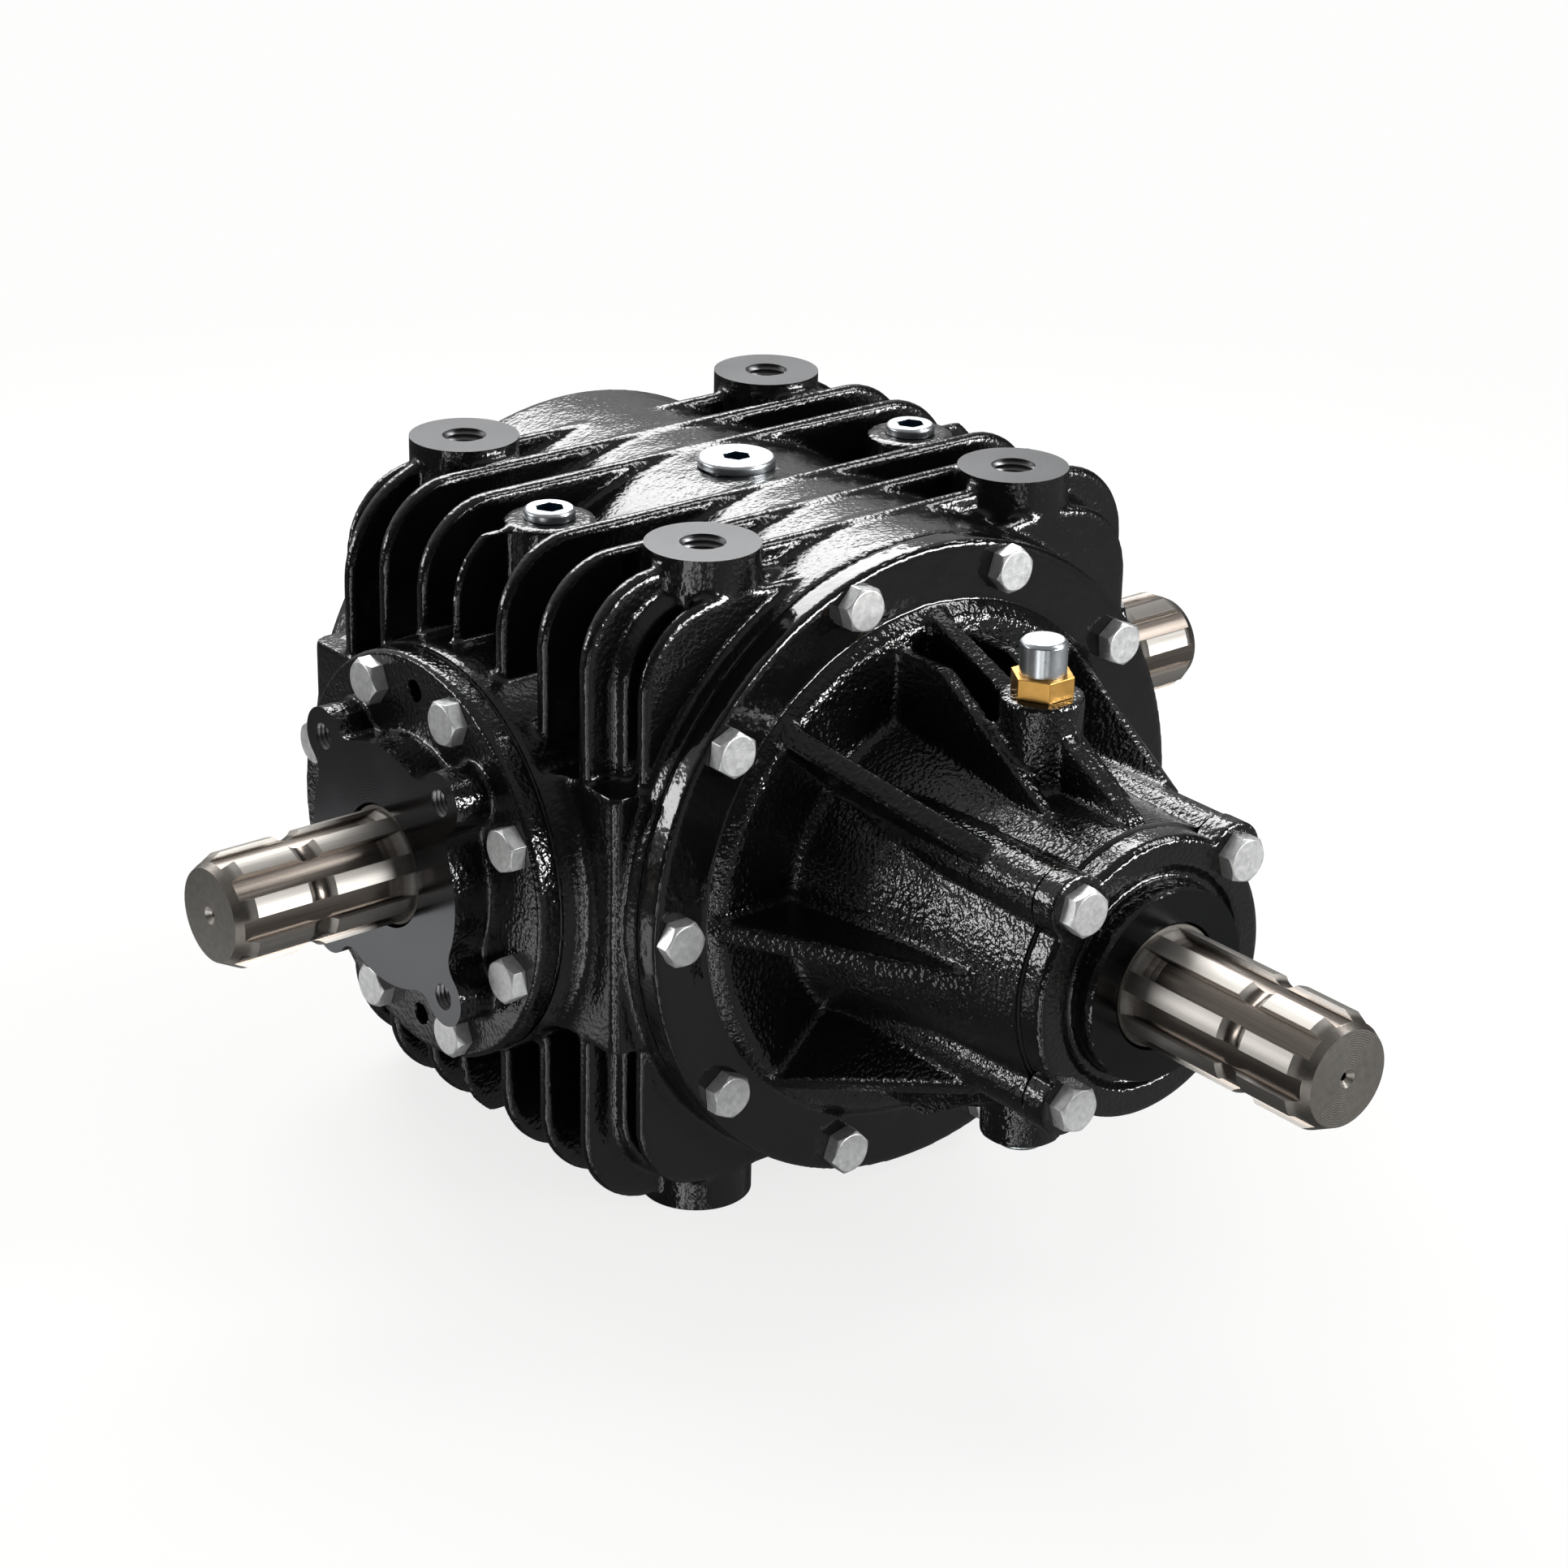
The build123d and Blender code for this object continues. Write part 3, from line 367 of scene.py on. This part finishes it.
def splined_steel(name, axis):
    """Steel of a splined shaft that lies along x or y."""
    finish = Finish(name)
    where = finish.place()
    x, y, z = finish.split(where)
    if axis == "x":
        side, stretched = y, (ALONG, ACROSS, ACROSS)
    else:
        side, stretched = x, (ACROSS, ALONG, ACROSS)
    drawn_out = finish.node("Mapping", None, {"Vector": where, "Scale": stretched})
    streaks = finish.noise(1, 3, 0.6, drawn_out)
    looks = finish.split(finish.node("NewGeometry", output="Normal"))
    along = abs(looks["xyz".index(axis)])
    faced = along.step(*FACED)
    sloped = along.step(*SLOPED) * (1 - faced)
    radius = finish.distance(side, z - AXIS_HEIGHT)
    outer = radius.step(VALLEYS, TOOTH_TOPS)
    # valleys: brown from the hob, and darkened as painted shade between the teeth
    shaded_valley = finish.mix(streaks, (0.13, 0.110, 0.095), (0.26, 0.228, 0.20))
    tooth = finish.mix(streaks, (0.30, 0.285, 0.262), (0.54, 0.51, 0.48))
    patches = finish.noise(FACE_PATCHES, 4, 0.65)
    cut_end = finish.mix(patches, (0.13, 0.122, 0.11), (0.27, 0.255, 0.235))
    tone = finish.mix(sloped, finish.mix(outer, shaded_valley, tooth), BEVEL_TONE)
    tone = finish.mix(faced, tone, cut_end)
    rough = 0.18 + 0.12 * streaks + 0.20 * faced + 0.18 * outer + 0.10 * sloped
    marks = finish.rings(radius, LATHE_MARKS)
    relief = streaks * (1 - faced) + marks * faced
    skin = finish.bump(relief, STREAK_DEPTH, STREAK_STRENGTH)
    return finish.surface(base_color=tone, metallic=1.0, roughness=rough, normal=skin)


output_steel = splined_steel("output_steel", "x")
input_steel = splined_steel("input_steel", "y")

# %% [markdown]
# ## Rubber and sheet
# The oil seals are nitrile rubber and the joints are fibre sheet: both dull, with a fine grain. Only
# their rims show, so one matt recipe with two colours does for both.

# %% Rubber and gasket sheet
DULL_DEPTH, DULL_STRENGTH = 0.08 * MM, 0.5


def dull(name, dark, light, rough, scale):
    """A matt finish with a fine grain."""
    finish = Finish(name)
    grain = finish.noise(scale, 3)
    tone = finish.mix(grain, dark, light)
    skin = finish.bump(grain, DULL_DEPTH, DULL_STRENGTH)
    return finish.surface(base_color=tone, roughness=rough + 0.1 * grain, normal=skin)


rubber = dull("nitrile_rubber", (0.008, 0.008, 0.008), (0.02, 0.02, 0.02), 0.5, 700)
sheet = dull("fibre_sheet", (0.02, 0.018, 0.016), (0.05, 0.045, 0.04), 0.6, 900)

# %% [markdown]
# ## Dress the frame
# Each part of the frame takes the finish of its real counterpart. A list of all the parts would
# repeat itself, so this one holds only how their names begin. Whatever it leaves out, such as keys,
# sleeves and shims, is plain turned steel.

# %% Finish of each part
dressed_in = (
    (enamel, ("housing",)),
    (rough_enamel, ("input_cover",)),
    (cover_enamel, ("input_cap", "side_cover")),
    (zinc, ("side_bolts", "cover_bolts", "cap_bolts")),
    (bright_zinc, ("fill_plug", "level_plugs", "drain_plug", "breather_cap")),
    (brass, ("breather_body",)),
    (output_steel, ("output_shaft",)),
    (input_steel, ("input_shaft",)),
    (gear_steel, ("crown_gear", "bevel_pinion")),
    (ground_steel, ("output_cup", "output_cone", "output_rollers")),
    (ground_steel, ("input_cup", "input_cone", "input_rollers")),
    (cage_steel, ("output_cage", "input_cage")),
    (rubber, ("output_seal", "input_seal")),
    (sheet, ("cover_gasket", "cap_gasket")),
)


def finish_for(node):
    """The finish whose list has the beginning of the part's name."""
    for finish, beginnings in dressed_in:
        if node.startswith(beginnings):
            return finish
    return turned_steel


for node, part in frame["nodes"].items():
    for slot in part.material_slots:
        slot.material = finish_for(node)
print("dressed", len(frame["nodes"]), "parts")

# %% [markdown]
# ## A copy to work on
# A real casting starts as a rough shape with every corner rounded, and only its joint faces are
# machined flat and sharp afterwards. The same order works here. A casting could be modelled anew
# from cylinders and plates, but its part already has every size right, so each piece begins as a
# copy of it. The part's mesh is loose triangles, which is why the copy is merged first.

# %% Copying and modifying
WELD = 0.002 * MM


def activate(*objects):
    """Makes these the only selected objects, with the first one active."""
    bpy.ops.object.select_all(action="DESELECT")
    for each in objects:
        each.select_set(True)
    bpy.context.view_layer.objects.active = objects[0]


def welded_copy(node, name):
    """A new piece with the mesh of a part, its loose triangles merged into a closed skin."""
    piece = bpy.data.objects.new(name, frame["nodes"][node].data.copy())
    bpy.context.collection.objects.link(piece)
    piece.data.materials.clear()
    activate(piece)
    bpy.ops.object.mode_set(mode="EDIT")
    bpy.ops.mesh.select_all(action="SELECT")
    bpy.ops.mesh.remove_doubles(threshold=WELD)
    bpy.ops.mesh.select_mode(type="FACE")
    bpy.ops.mesh.select_all(action="DESELECT")
    bpy.ops.object.mode_set(mode="OBJECT")
    return piece


def apply(piece, kind, **settings):
    """Adds a modifier, sets it up and applies it."""
    activate(piece)
    modifier = piece.modifiers.new(kind.lower(), kind)
    for name, value in settings.items():
        setattr(modifier, name, value)
    bpy.ops.object.modifier_apply(modifier=modifier.name)


# %% [markdown]
# ## Casting
# A bevel can't follow the tangle of edges where fins, ribs and bosses meet. A voxel remesh can: it
# turns the copy into one even skin, and a smoothing pass rounds every corner of it, inside and out,
# as a sand mould does. The faces to be machined are first drawn out by a few millimetres, the
# machining allowance of a real casting, so that the rounding there is cut off again.

# %% Casting
SAME_WAY, SAME_LEVEL = 0.999, 0.02 * MM
ALLOWANCE = 4 * MM


def on_plane(face, normal, level):
    """Whether a face lies on the plane with that normal, at that distance from the origin."""
    if face.normal.dot(normal) <= SAME_WAY:
        return False
    return abs(face.center.dot(normal) - level) < SAME_LEVEL


def stretch(piece, normal, level):
    """Extrudes the faces on a plane outwards, so that later rounding happens beyond it."""
    activate(piece)
    for face in piece.data.polygons:
        face.select = on_plane(face, normal, level)
    bpy.ops.object.mode_set(mode="EDIT")
    bpy.ops.mesh.extrude_region_move(TRANSFORM_OT_translate={"value": ALLOWANCE * normal})
    bpy.ops.mesh.select_all(action="DESELECT")
    bpy.ops.object.mode_set(mode="OBJECT")


def cast(piece, grain, turns, triangles):
    """Remeshes a piece into one skin, rounds its corners, and thins its mesh."""
    apply(piece, "REMESH", mode="VOXEL", voxel_size=grain)
    apply(piece, "SMOOTH", factor=0.5, iterations=turns)
    made = 2 * len(piece.data.polygons)
    apply(piece, "DECIMATE", ratio=min(1.0, triangles / made))
    print(piece.name, "cast with", made, "triangles, thinned to", len(piece.data.polygons))


# %% [markdown]
# ## Machining
# The stretched faces are milled back to their true planes. Bisecting the mesh would leave a hole to
# fill. A boolean with a thick plate cuts as a machine does, and the skin stays closed.

# %% Machining
PLATE, PLATE_WIDTH = 20 * MM, 500 * MM  # wider than the gearbox


def slab_beyond(normal, level):
    """A plate whose inner face lies on a plane, to cut with."""
    size = [PLATE if abs(part) > 0.5 else PLATE_WIDTH for part in normal]
    middle = (level + PLATE / 2) * normal
    bpy.ops.mesh.primitive_cube_add(size=1, location=middle, scale=size)
    return bpy.context.object


def cut(piece, *cutters):
    """Cuts the piece with cutters that don't touch each other, and clears them away."""
    activate(*cutters)
    if len(cutters) > 1:
        bpy.ops.object.join()
    cutter = bpy.context.object
    apply(piece, "BOOLEAN", object=cutter, operation="DIFFERENCE", solver="MANIFOLD")
    bpy.data.objects.remove(cutter)


# %% [markdown]
# ## Tapping
# The bosses and the pads are bolted to, so their holes are tapped, and the ridges show in the mouth
# of each hole. A bump could draw them, but not their silhouette at the rim, so they are cut. The tap
# is modelled once: two open cones, foot to foot, are a ridge, which an Array modifier repeats along
# the hole. Its ends are then filled, so that it is a closed solid that a boolean can use. The ridges
# are rings; at this size they look like a helix, and they always close.

# %% Tapping
BORE_TURNS, TAP_SIDES, TAP_WELD = 12, 48, 0.01 * MM
LEAD_OUT = 0.75  # turns of the tap that stand out of the hole


def half_ridge(foot, head, pitch, middle):
    """One open cone of a ridge, round the Z axis."""
    bpy.ops.mesh.primitive_cone_add(vertices=TAP_SIDES, radius1=foot, radius2=head,
                                    depth=pitch / 2, end_fill_type="NOTHING",
                                    location=(0, 0, middle))
    return bpy.context.object


def tap(mouth, inward, radius, pitch):
    """A threaded bar from just outside a hole's mouth to its bottom, to cut with."""
    crest = radius + pitch / 2
    activate(half_ridge(radius, crest, pitch, pitch / 4),
             half_ridge(crest, radius, pitch, pitch * 3 / 4))
    bpy.ops.object.join()
    bar = bpy.context.object
    apply(bar, "ARRAY", count=BORE_TURNS, relative_offset_displace=(0, 0, 1),
          use_merge_vertices=True, merge_threshold=TAP_WELD)
    bpy.ops.object.mode_set(mode="EDIT")
    bpy.ops.mesh.select_all(action="SELECT")
    bpy.ops.mesh.remove_doubles(threshold=TAP_WELD)
    bpy.ops.mesh.fill_holes(sides=0)
    bpy.ops.mesh.normals_make_consistent(inside=False)
    bpy.ops.object.mode_set(mode="OBJECT")
    bar.rotation_euler = inward.to_track_quat("Z", "Y").to_euler()
    bar.location = mouth - LEAD_OUT * pitch * inward
    bpy.context.view_layer.update()
    return bar


def in_bore(point, mouth, inward, radius, pitch):
    """Whether a point lies inside a tapped hole."""
    offset = point - mouth
    along = offset.dot(inward)
    aside = offset.length_squared - along * along
    return abs(along) < BORE_TURNS * pitch and aside < (radius + pitch) ** 2


# %% [markdown]
# ## Painting and handing over
# The spray covers the whole casting, the machined planes get their own finish, and the threads stay
# bare. The finishes could be blended by masks in one material, but the places are whole faces here,
# so each face simply gets a slot. Smooth shading then stops at sharp edges, and weighted normals
# keep the large flat faces flat beside their rounded rims. A finished piece rides on the body of its
# part and stands in for it.

# %% Painting and handing over
CAST_EDGE = 35  # degrees above which an edge stays sharp
FLAT_FIRST = 80  # how much the large faces outweigh the small ones
SKIN, MACHINED, THREAD = range(3)


def smooth(piece, degrees):
    """Smooth shading up to that angle, in which large flat faces outweigh small round ones."""
    activate(piece)
    bpy.ops.object.shade_smooth_by_angle(angle=math.radians(degrees))
    apply(piece, "WEIGHTED_NORMAL", mode="FACE_AREA", weight=FLAT_FIRST, keep_sharp=True)


def paint(piece, skin, machined, planes, bores=()):
    """The cast skin all over, the machined finish on the planes, and bare thread in the bores."""
    piece.data.materials.clear()
    for finish in (skin, machined, thread_steel) if bores else (skin, machined):
        piece.data.materials.append(finish)
    for face in piece.data.polygons:
        if any(on_plane(face, *plane) for plane in planes):
            face.material_index = MACHINED
        elif any(in_bore(face.center, *bore) for bore in bores):
            face.material_index = THREAD
        else:
            face.material_index = SKIN
    smooth(piece, CAST_EDGE)


def hand_over(piece, node):
    """Lets the finished piece stand for its part, and prints what it became."""
    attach(piece, frame["nodes"][node]["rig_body"])
    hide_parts(node)
    low, high = (Vector(corner) for corner in (piece.bound_box[0], piece.bound_box[6]))
    size = tuple(round(side / MM, 1) for side in high - low)
    print(piece.name, len(piece.data.polygons), "faces,", size, "mm")


# %% [markdown]
# ## Housing
# The barrel, its fins and its bosses are one sand casting. Its bosses are milled level above and
# below, and its joint faces are turned, so those planes are cut back sharp and everything else
# stays rounded. The voxels are about a quarter of a fin thick: coarser ones would eat the fins,
# and finer ones would make a heavy mesh.

# %% Housing
UP, RIGHT, FRONT = Vector((0, 0, 1)), Vector((1, 0, 0)), Vector((0, -1, 0))
housing = welded_copy("housing", "housing_casting")
low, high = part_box("housing")
boss_faces = [(UP, high.z), (-UP, -low.z)]
joint_faces = [(RIGHT, high.x), (-RIGHT, -low.x), (FRONT, -low.y)]
for plane in boss_faces + joint_faces:
    stretch(housing, *plane)
cast(housing, 1.2 * MM, 5, 180000)
for plane in boss_faces + joint_faces:
    cut(housing, slab_beyond(*plane))

# %% [markdown]
# The eight bosses are tapped M16, four from above and four from below. Their places and the size of
# the hole are read from the record's mounts, so they can't drift from the engineering model.

# %% Tapped holes of the bosses
BOSS_PITCH = 2 * MM


def mount(name):
    """A mount of the record, with its place and its sizes."""
    return next(each for each in frame["record"]["mounts"] if each["name"] == name)


pattern = mount("top_pattern")["dims"]
bores = []
for side_x in (-0.5, 0.5):
    for side_y in (-0.5, 0.5):
        x, y = side_x * pattern["spacing_x_mm"] * MM, side_y * pattern["spacing_y_mm"] * MM
        for level, inward in ((high.z, -UP), (low.z, UP)):
            bores.append((Vector((x, y, level)), inward, pattern["hole_r_mm"] * MM, BOSS_PITCH))
cut(housing, *[tap(*bore) for bore in bores])
print(len(bores), "holes tapped")
paint(housing, enamel, milled_black, boss_faces, bores)
hand_over(housing, "housing")

# %% [markdown]
# ## Bell cover
# The bell is the roughest casting: its ribs, posts and nose keep the grain of the sand. The end of
# its nose, where the cap seats, is turned flat. It is cast with finer voxels than the housing,
# because its ribs are thinner and stand closer together.

# %% Bell cover
bell = welded_copy("input_cover", "bell_casting")
nose_end = (FRONT, -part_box("input_cover")[0].y)
stretch(bell, *nose_end)
cast(bell, 1.0 * MM, 4, 170000)
cut(bell, slab_beyond(*nose_end))
paint(bell, rough_enamel, milled_black, [nose_end])
hand_over(bell, "input_cover")

# %% [markdown]
# ## Side covers
# Each side cover carries a four-eared pad that another machine is bolted to, so the pad is turned
# flat and an M10 thread is tapped through each ear. The two covers mirror each other, but a
# mirrored copy would come out inside out, so a loop makes each one from its own part.

# %% Side covers
PAD_PITCH = 1.5 * MM
EARS = (45, 135, 225, 315)  # degrees round the output shaft
LOW, HIGH = 0, 1  # corners of a box
for side, outward, corner in (("left", -RIGHT, LOW), ("right", RIGHT, HIGH)):
    node = "side_cover_" + side
    cover = welded_copy(node, node + "_casting")
    pad = (outward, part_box(node)[corner].x * outward.x)
    stretch(cover, *pad)
    cast(cover, 0.8 * MM, 4, 120000)
    cut(cover, slab_beyond(*pad))
    pattern = mount("pad_pattern_" + side)
    circle, hole = pattern["dims"]["pcd_mm"] / 2 * MM, pattern["dims"]["hole_r_mm"] * MM
    bores = []
    for turn in map(math.radians, EARS):
        mouth = Vector(pattern["pos_m"]) + circle * Vector((0, math.cos(turn), math.sin(turn)))
        bores.append((mouth, -outward, hole, PAD_PITCH))
    cut(cover, *[tap(*bore) for bore in bores])
    paint(cover, cover_enamel, turned_black_x, [pad], bores)
    hand_over(cover, node)

# %% [markdown]
# ## Input cap
# The cap holds the input seal. It is a small casting with a turned hub, so its hub face is cut back
# flat and shows the circles of the lathe. It is made in the same way as the other castings, with
# the finest voxels of all, because its ears are small.

# %% Input cap
cap = welded_copy("input_cap", "cap_casting")
hub = (FRONT, -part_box("input_cap")[0].y)
stretch(cap, *hub)
cast(cap, 0.7 * MM, 3, 100000)
cut(cap, slab_beyond(*hub))
paint(cap, cover_enamel, turned_black_y, [hub])
hand_over(cap, "input_cap")

# %% [markdown]
# ## Broken edges
# Bolts and plugs leave the factory with their edges broken by a fraction of a millimetre, and those
# tiny bevels catch the light. A bevel of loose triangles would break up, so flat regions are first
# dissolved into single faces, and the bevel then runs evenly along each edge.

# %% Bolts and breather
FLAT, SHARP = math.radians(0.6), math.radians(24)
TOOLED_EDGE = 30  # degrees above which an edge stays sharp
BOLT_BREAK, PLUG_BREAK = 0.25 * MM, 0.3 * MM


def break_edges(node, finish, width):
    """A copy of a part with bevelled edges, which stands for it."""
    piece = welded_copy(node, node + "_finished")
    apply(piece, "DECIMATE", decimate_type="DISSOLVE", angle_limit=FLAT)
    apply(piece, "BEVEL", width=width, segments=2, limit_method="ANGLE", angle_limit=SHARP,
          use_clamp_overlap=True, miter_outer="MITER_ARC")
    piece.data.materials.append(finish)
    smooth(piece, TOOLED_EDGE)
    hand_over(piece, node)
    return piece


for node in ("cover_bolts", "cap_bolts", "side_bolts_left", "side_bolts_right"):
    break_edges(node, zinc, BOLT_BREAK)
break_edges("breather_cap", bright_zinc, PLUG_BREAK)
break_edges("breather_body", brass, BOLT_BREAK)

# %% [markdown]
# ## Plugs
# The plugs are tightened with a hexagon key. Their sockets kept the blue of the plating bath, and
# they lie in shade, so the faces inside a socket get a finish of their own: a dark blue, in which
# the shade is painted. They are found by their place: near the axis of a plug, and a little behind
# the level of its head.

# %% Plugs with blue sockets in painted shade
SOCKET_RADIUS, SOCKET_DEPTH, RIM = 4.75 * MM, 7 * MM, 0.3 * MM


def shade_blue_sockets(piece, head_level, *axes):
    """Gives the faces round these upright axes, just behind the head, blue plating with painted
    shade.
    """
    piece.data.materials.append(blued_zinc)
    for face in piece.data.polygons:
        behind = RIM < abs(face.center.z - head_level) < SOCKET_DEPTH
        near = any((face.center - axis).to_2d().length < SOCKET_RADIUS for axis in axes)
        face.material_index = int(behind and near)
    shaded_blue = sum(face.material_index for face in piece.data.polygons)
    print(piece.name, "has", shaded_blue, "blued faces")


for node in ("fill_plug", "drain_plug", "level_plugs"):
    plug = break_edges(node, bright_zinc, PLUG_BREAK)
    low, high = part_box(node)
    middle, head = (low + high) / 2, (high.y - low.y) / 2
    # the two level plugs are one part, so their axes lie half a head inside its ends
    spread = ((high.x - low.x) / 2 - head) * RIGHT if node == "level_plugs" else 0 * RIGHT
    head_level = low.z if node == "drain_plug" else high.z
    shade_blue_sockets(plug, head_level, middle - spread, middle + spread)

# %% [markdown]
# ## Floor
# Gloss black shows what stands round it more than its own colour. The floor is pale paper that
# takes the shadow, but most of it is left out of reflections, so that the enamel above it stays
# black. A dark floor would do that too, but it would look dark. One patch beside the left pad stays
# in the reflections, and brings a grey gleam to the turned face. The floor fades out into the white
# surround, and it has no underside, so the gearbox can be seen from below.

# %% Floor
FLOOR_RADIUS, FLOOR_DROP = 3.0, 0.2 * MM
FADE = (0.30, 0.95)  # distances from the middle over which the floor fades out
GLEAM_X, GLEAM_Y, GLEAM_REACH = (-0.22, -0.14), (-0.02, 0.06), (0.28, 0.40)
OWN_GLOW = 0.8  # share of the paper's look that is its own light, for the eye only
LEFT_OUT = 0.92  # share of the paper that reflections pass by
PAPER, WHITE = (0.93, 0.93, 0.925), (0.985, 0.985, 0.98)

bpy.ops.object.select_all(action="DESELECT")
bpy.ops.mesh.primitive_circle_add(vertices=96, radius=FLOOR_RADIUS, fill_type="NGON",
                                  location=(0, 0, -FLOOR_DROP))
floor = bpy.context.object
floor.name = "studio_floor"
floor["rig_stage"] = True

paper = Finish("studio_paper")
x, y, z = paper.split(paper.place())
seen, mirrored = paper.rays("Camera", "Glossy")
above = 1 - paper.node("NewGeometry", output="Backfacing")
reach = paper.distance(x, y)
gleam = (1 - x.step(*GLEAM_X)) * (1 - reach.step(*GLEAM_REACH)) * y.step(*GLEAM_Y)
kept = (1 - reach.step(*FADE)) * (1 - LEFT_OUT * mirrored * (1 - gleam))
lit = paper.node("BsdfDiffuse", None, {"Color": PAPER})
glow = paper.node("Emission", None, {"Color": WHITE, "Strength": 1.0})
pale = paper.node("MixShader", None, {0: seen * OWN_GLOW, 1: lit, 2: glow})
clear = paper.node("BsdfTransparent")
blend = paper.node("MixShader", None, {0: 1 - above * kept, 1: pale, 2: clear})
paper.node("OutputMaterial", None, {"Surface": blend})
floor.data.materials.append(paper.data)
print(floor.name, "reaches", FLOOR_RADIUS, "m")

# %% [markdown]
# ## Surround
# The surround is white for the eye. In reflections it is a dim studio instead: a soft backdrop
# behind the gearbox, three narrow bright strips low down on the left, which draw the rims and the
# fins, and a faint glow in front for the bolt heads. Real panels could stand there, but they would
# show from other sides. Headings are degrees round the vertical, from +X towards +Y.

# %% Surround
STRIP_EDGE = 1.5  # degrees over which a strip fades in
BASE, BACKDROP, STRIPS, FRONT_GLOW, CEILING = 0.04, 0.50, 2.8, 0.15, 0.2
AMBIENT, OVERHEAD, THROUGH = 0.30, 0.20, 0.5

world = bpy.data.worlds.new("studio")
bpy.context.scene.world = world
surround = Network(world)
seen, mirrored, through = surround.rays("Camera", "Glossy", "Transmission")
x, y, up = surround.split(surround.node("TexCoord", output="Generated"))


def strip(heading, half_width):
    """1 towards a heading, seen from above, and 0 beyond the half width on either side."""
    turn = math.radians(heading)
    across = y * math.cos(turn) - x * math.sin(turn)
    ahead = x * math.cos(turn) + y * math.sin(turn)
    off = surround.node("Math", {"operation": "ARCTAN2"}, {0: abs(across), 1: ahead})
    return 1 - off.step(math.radians(half_width - STRIP_EDGE),
                        math.radians(half_width + STRIP_EDGE))


backdrop = y.step(0.1, 0.9) * up.step(-0.25, 0.2)
low_down = up.step(-0.95, -0.7) * (1 - up.step(-0.2, -0.05))
strips = (strip(203, 6) + strip(224, 3.5) + 0.6 * strip(247, 3)) * low_down
ahead = strip(-51, 50) * (1 - up.step(-0.1, 0.2))
glossy = BASE + BACKDROP * backdrop + STRIPS * strips + FRONT_GLOW * ahead
glossy = glossy + CEILING * up.step(0.2, 0.9)
diffuse = AMBIENT + OVERHEAD * up.step(-0.1, 0.9)
strength = diffuse * (1 - mirrored) + glossy * mirrored + through * THROUGH
strength = surround.node("Mix", {"data_type": "FLOAT"}, {0: seen, 2: strength, 3: 1.0})
sky = surround.node("Background", None, {"Color": WHITE, "Strength": strength})
surround.node("OutputWorld", None, {"Surface": sky})
print("the surround has", len(surround.tree.nodes), "nodes")

# %% [markdown]
# ## Lamps
# Four broad lamps light the castings. The largest stands behind and above, where the crown of the
# barrel mirrors it, one stands on each side, and a low one in front fills the bolt heads and the
# nose. Area lamps are used because their shape shows in the gloss: a point lamp would leave only
# hard sparks.

# %% Lamps
target = at(0, -40, 0)


def lamp(name, place, size, watts):
    """A rectangular soft lamp aimed at the middle of the gearbox."""
    bpy.ops.object.light_add(type="AREA", location=place)
    made = bpy.context.object
    made.name = name
    made.data.shape = "RECTANGLE"
    made.data.size, made.data.size_y = size
    made.data.energy = watts
    aim = target - Vector(place)
    made.rotation_euler = aim.to_track_quat("-Z", "Y").to_euler()
    print("lamp", name, round(aim.length, 2), "m away,", watts, "W")


lamp("back_window", (0.37, 0.98, 1.13), (1.2, 0.65), 19)
lamp("right_front", (1.05, -0.75, 1.35), (0.4, 0.9), 10)
lamp("left_back", (-1.25, 0.95, 0.40), (0.7, 0.35), 6)
lamp("front_fill", (0.80, -1.50, 0.32), (1.0, 0.30), 22)

# %% [markdown]
# ## Camera
# The camera stands in front on the left, a little above, and holds a slight roll. It is placed from
# its azimuth, elevation and distance, and slid sideways and down, so the lens needs no shift. Its
# three axes make the columns of its matrix, which is more direct than finding Euler angles.

# %% Camera
AZIMUTH, ELEVATION, ROLL = (math.radians(angle) for angle in (-39.121, 23.196, 1.178))
DISTANCE, SLIDE_RIGHT, SLIDE_UP = 1238.609 * MM, 17.181 * MM, -6.264 * MM
LENS, SENSOR = 86.72, 36  # in millimetres, as camera makers give them

flat = math.cos(ELEVATION)
back = Vector((math.sin(AZIMUTH) * flat, -math.cos(AZIMUTH) * flat, math.sin(ELEVATION)))
right = Vector((math.cos(AZIMUTH), math.sin(AZIMUTH), 0))
above = back.cross(right)
spot = at(0, 0, 0) + SLIDE_RIGHT * right + SLIDE_UP * above + DISTANCE * back
rolled_right = right * math.cos(ROLL) + above * math.sin(ROLL)
rolled_up = above * math.cos(ROLL) - right * math.sin(ROLL)
turned = Matrix((rolled_right, rolled_up, back)).transposed().to_4x4()

bpy.ops.object.camera_add()
camera = bpy.context.object
camera.matrix_world = Matrix.Translation(spot) @ turned
camera.data.sensor_width = SENSOR
camera.data.lens = LENS
bpy.context.scene.camera = camera
bpy.context.scene.view_settings.view_transform = "Standard"
print("camera at", tuple(round(part, 3) for part in spot))

# %% Sizes and finish
low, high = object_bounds()
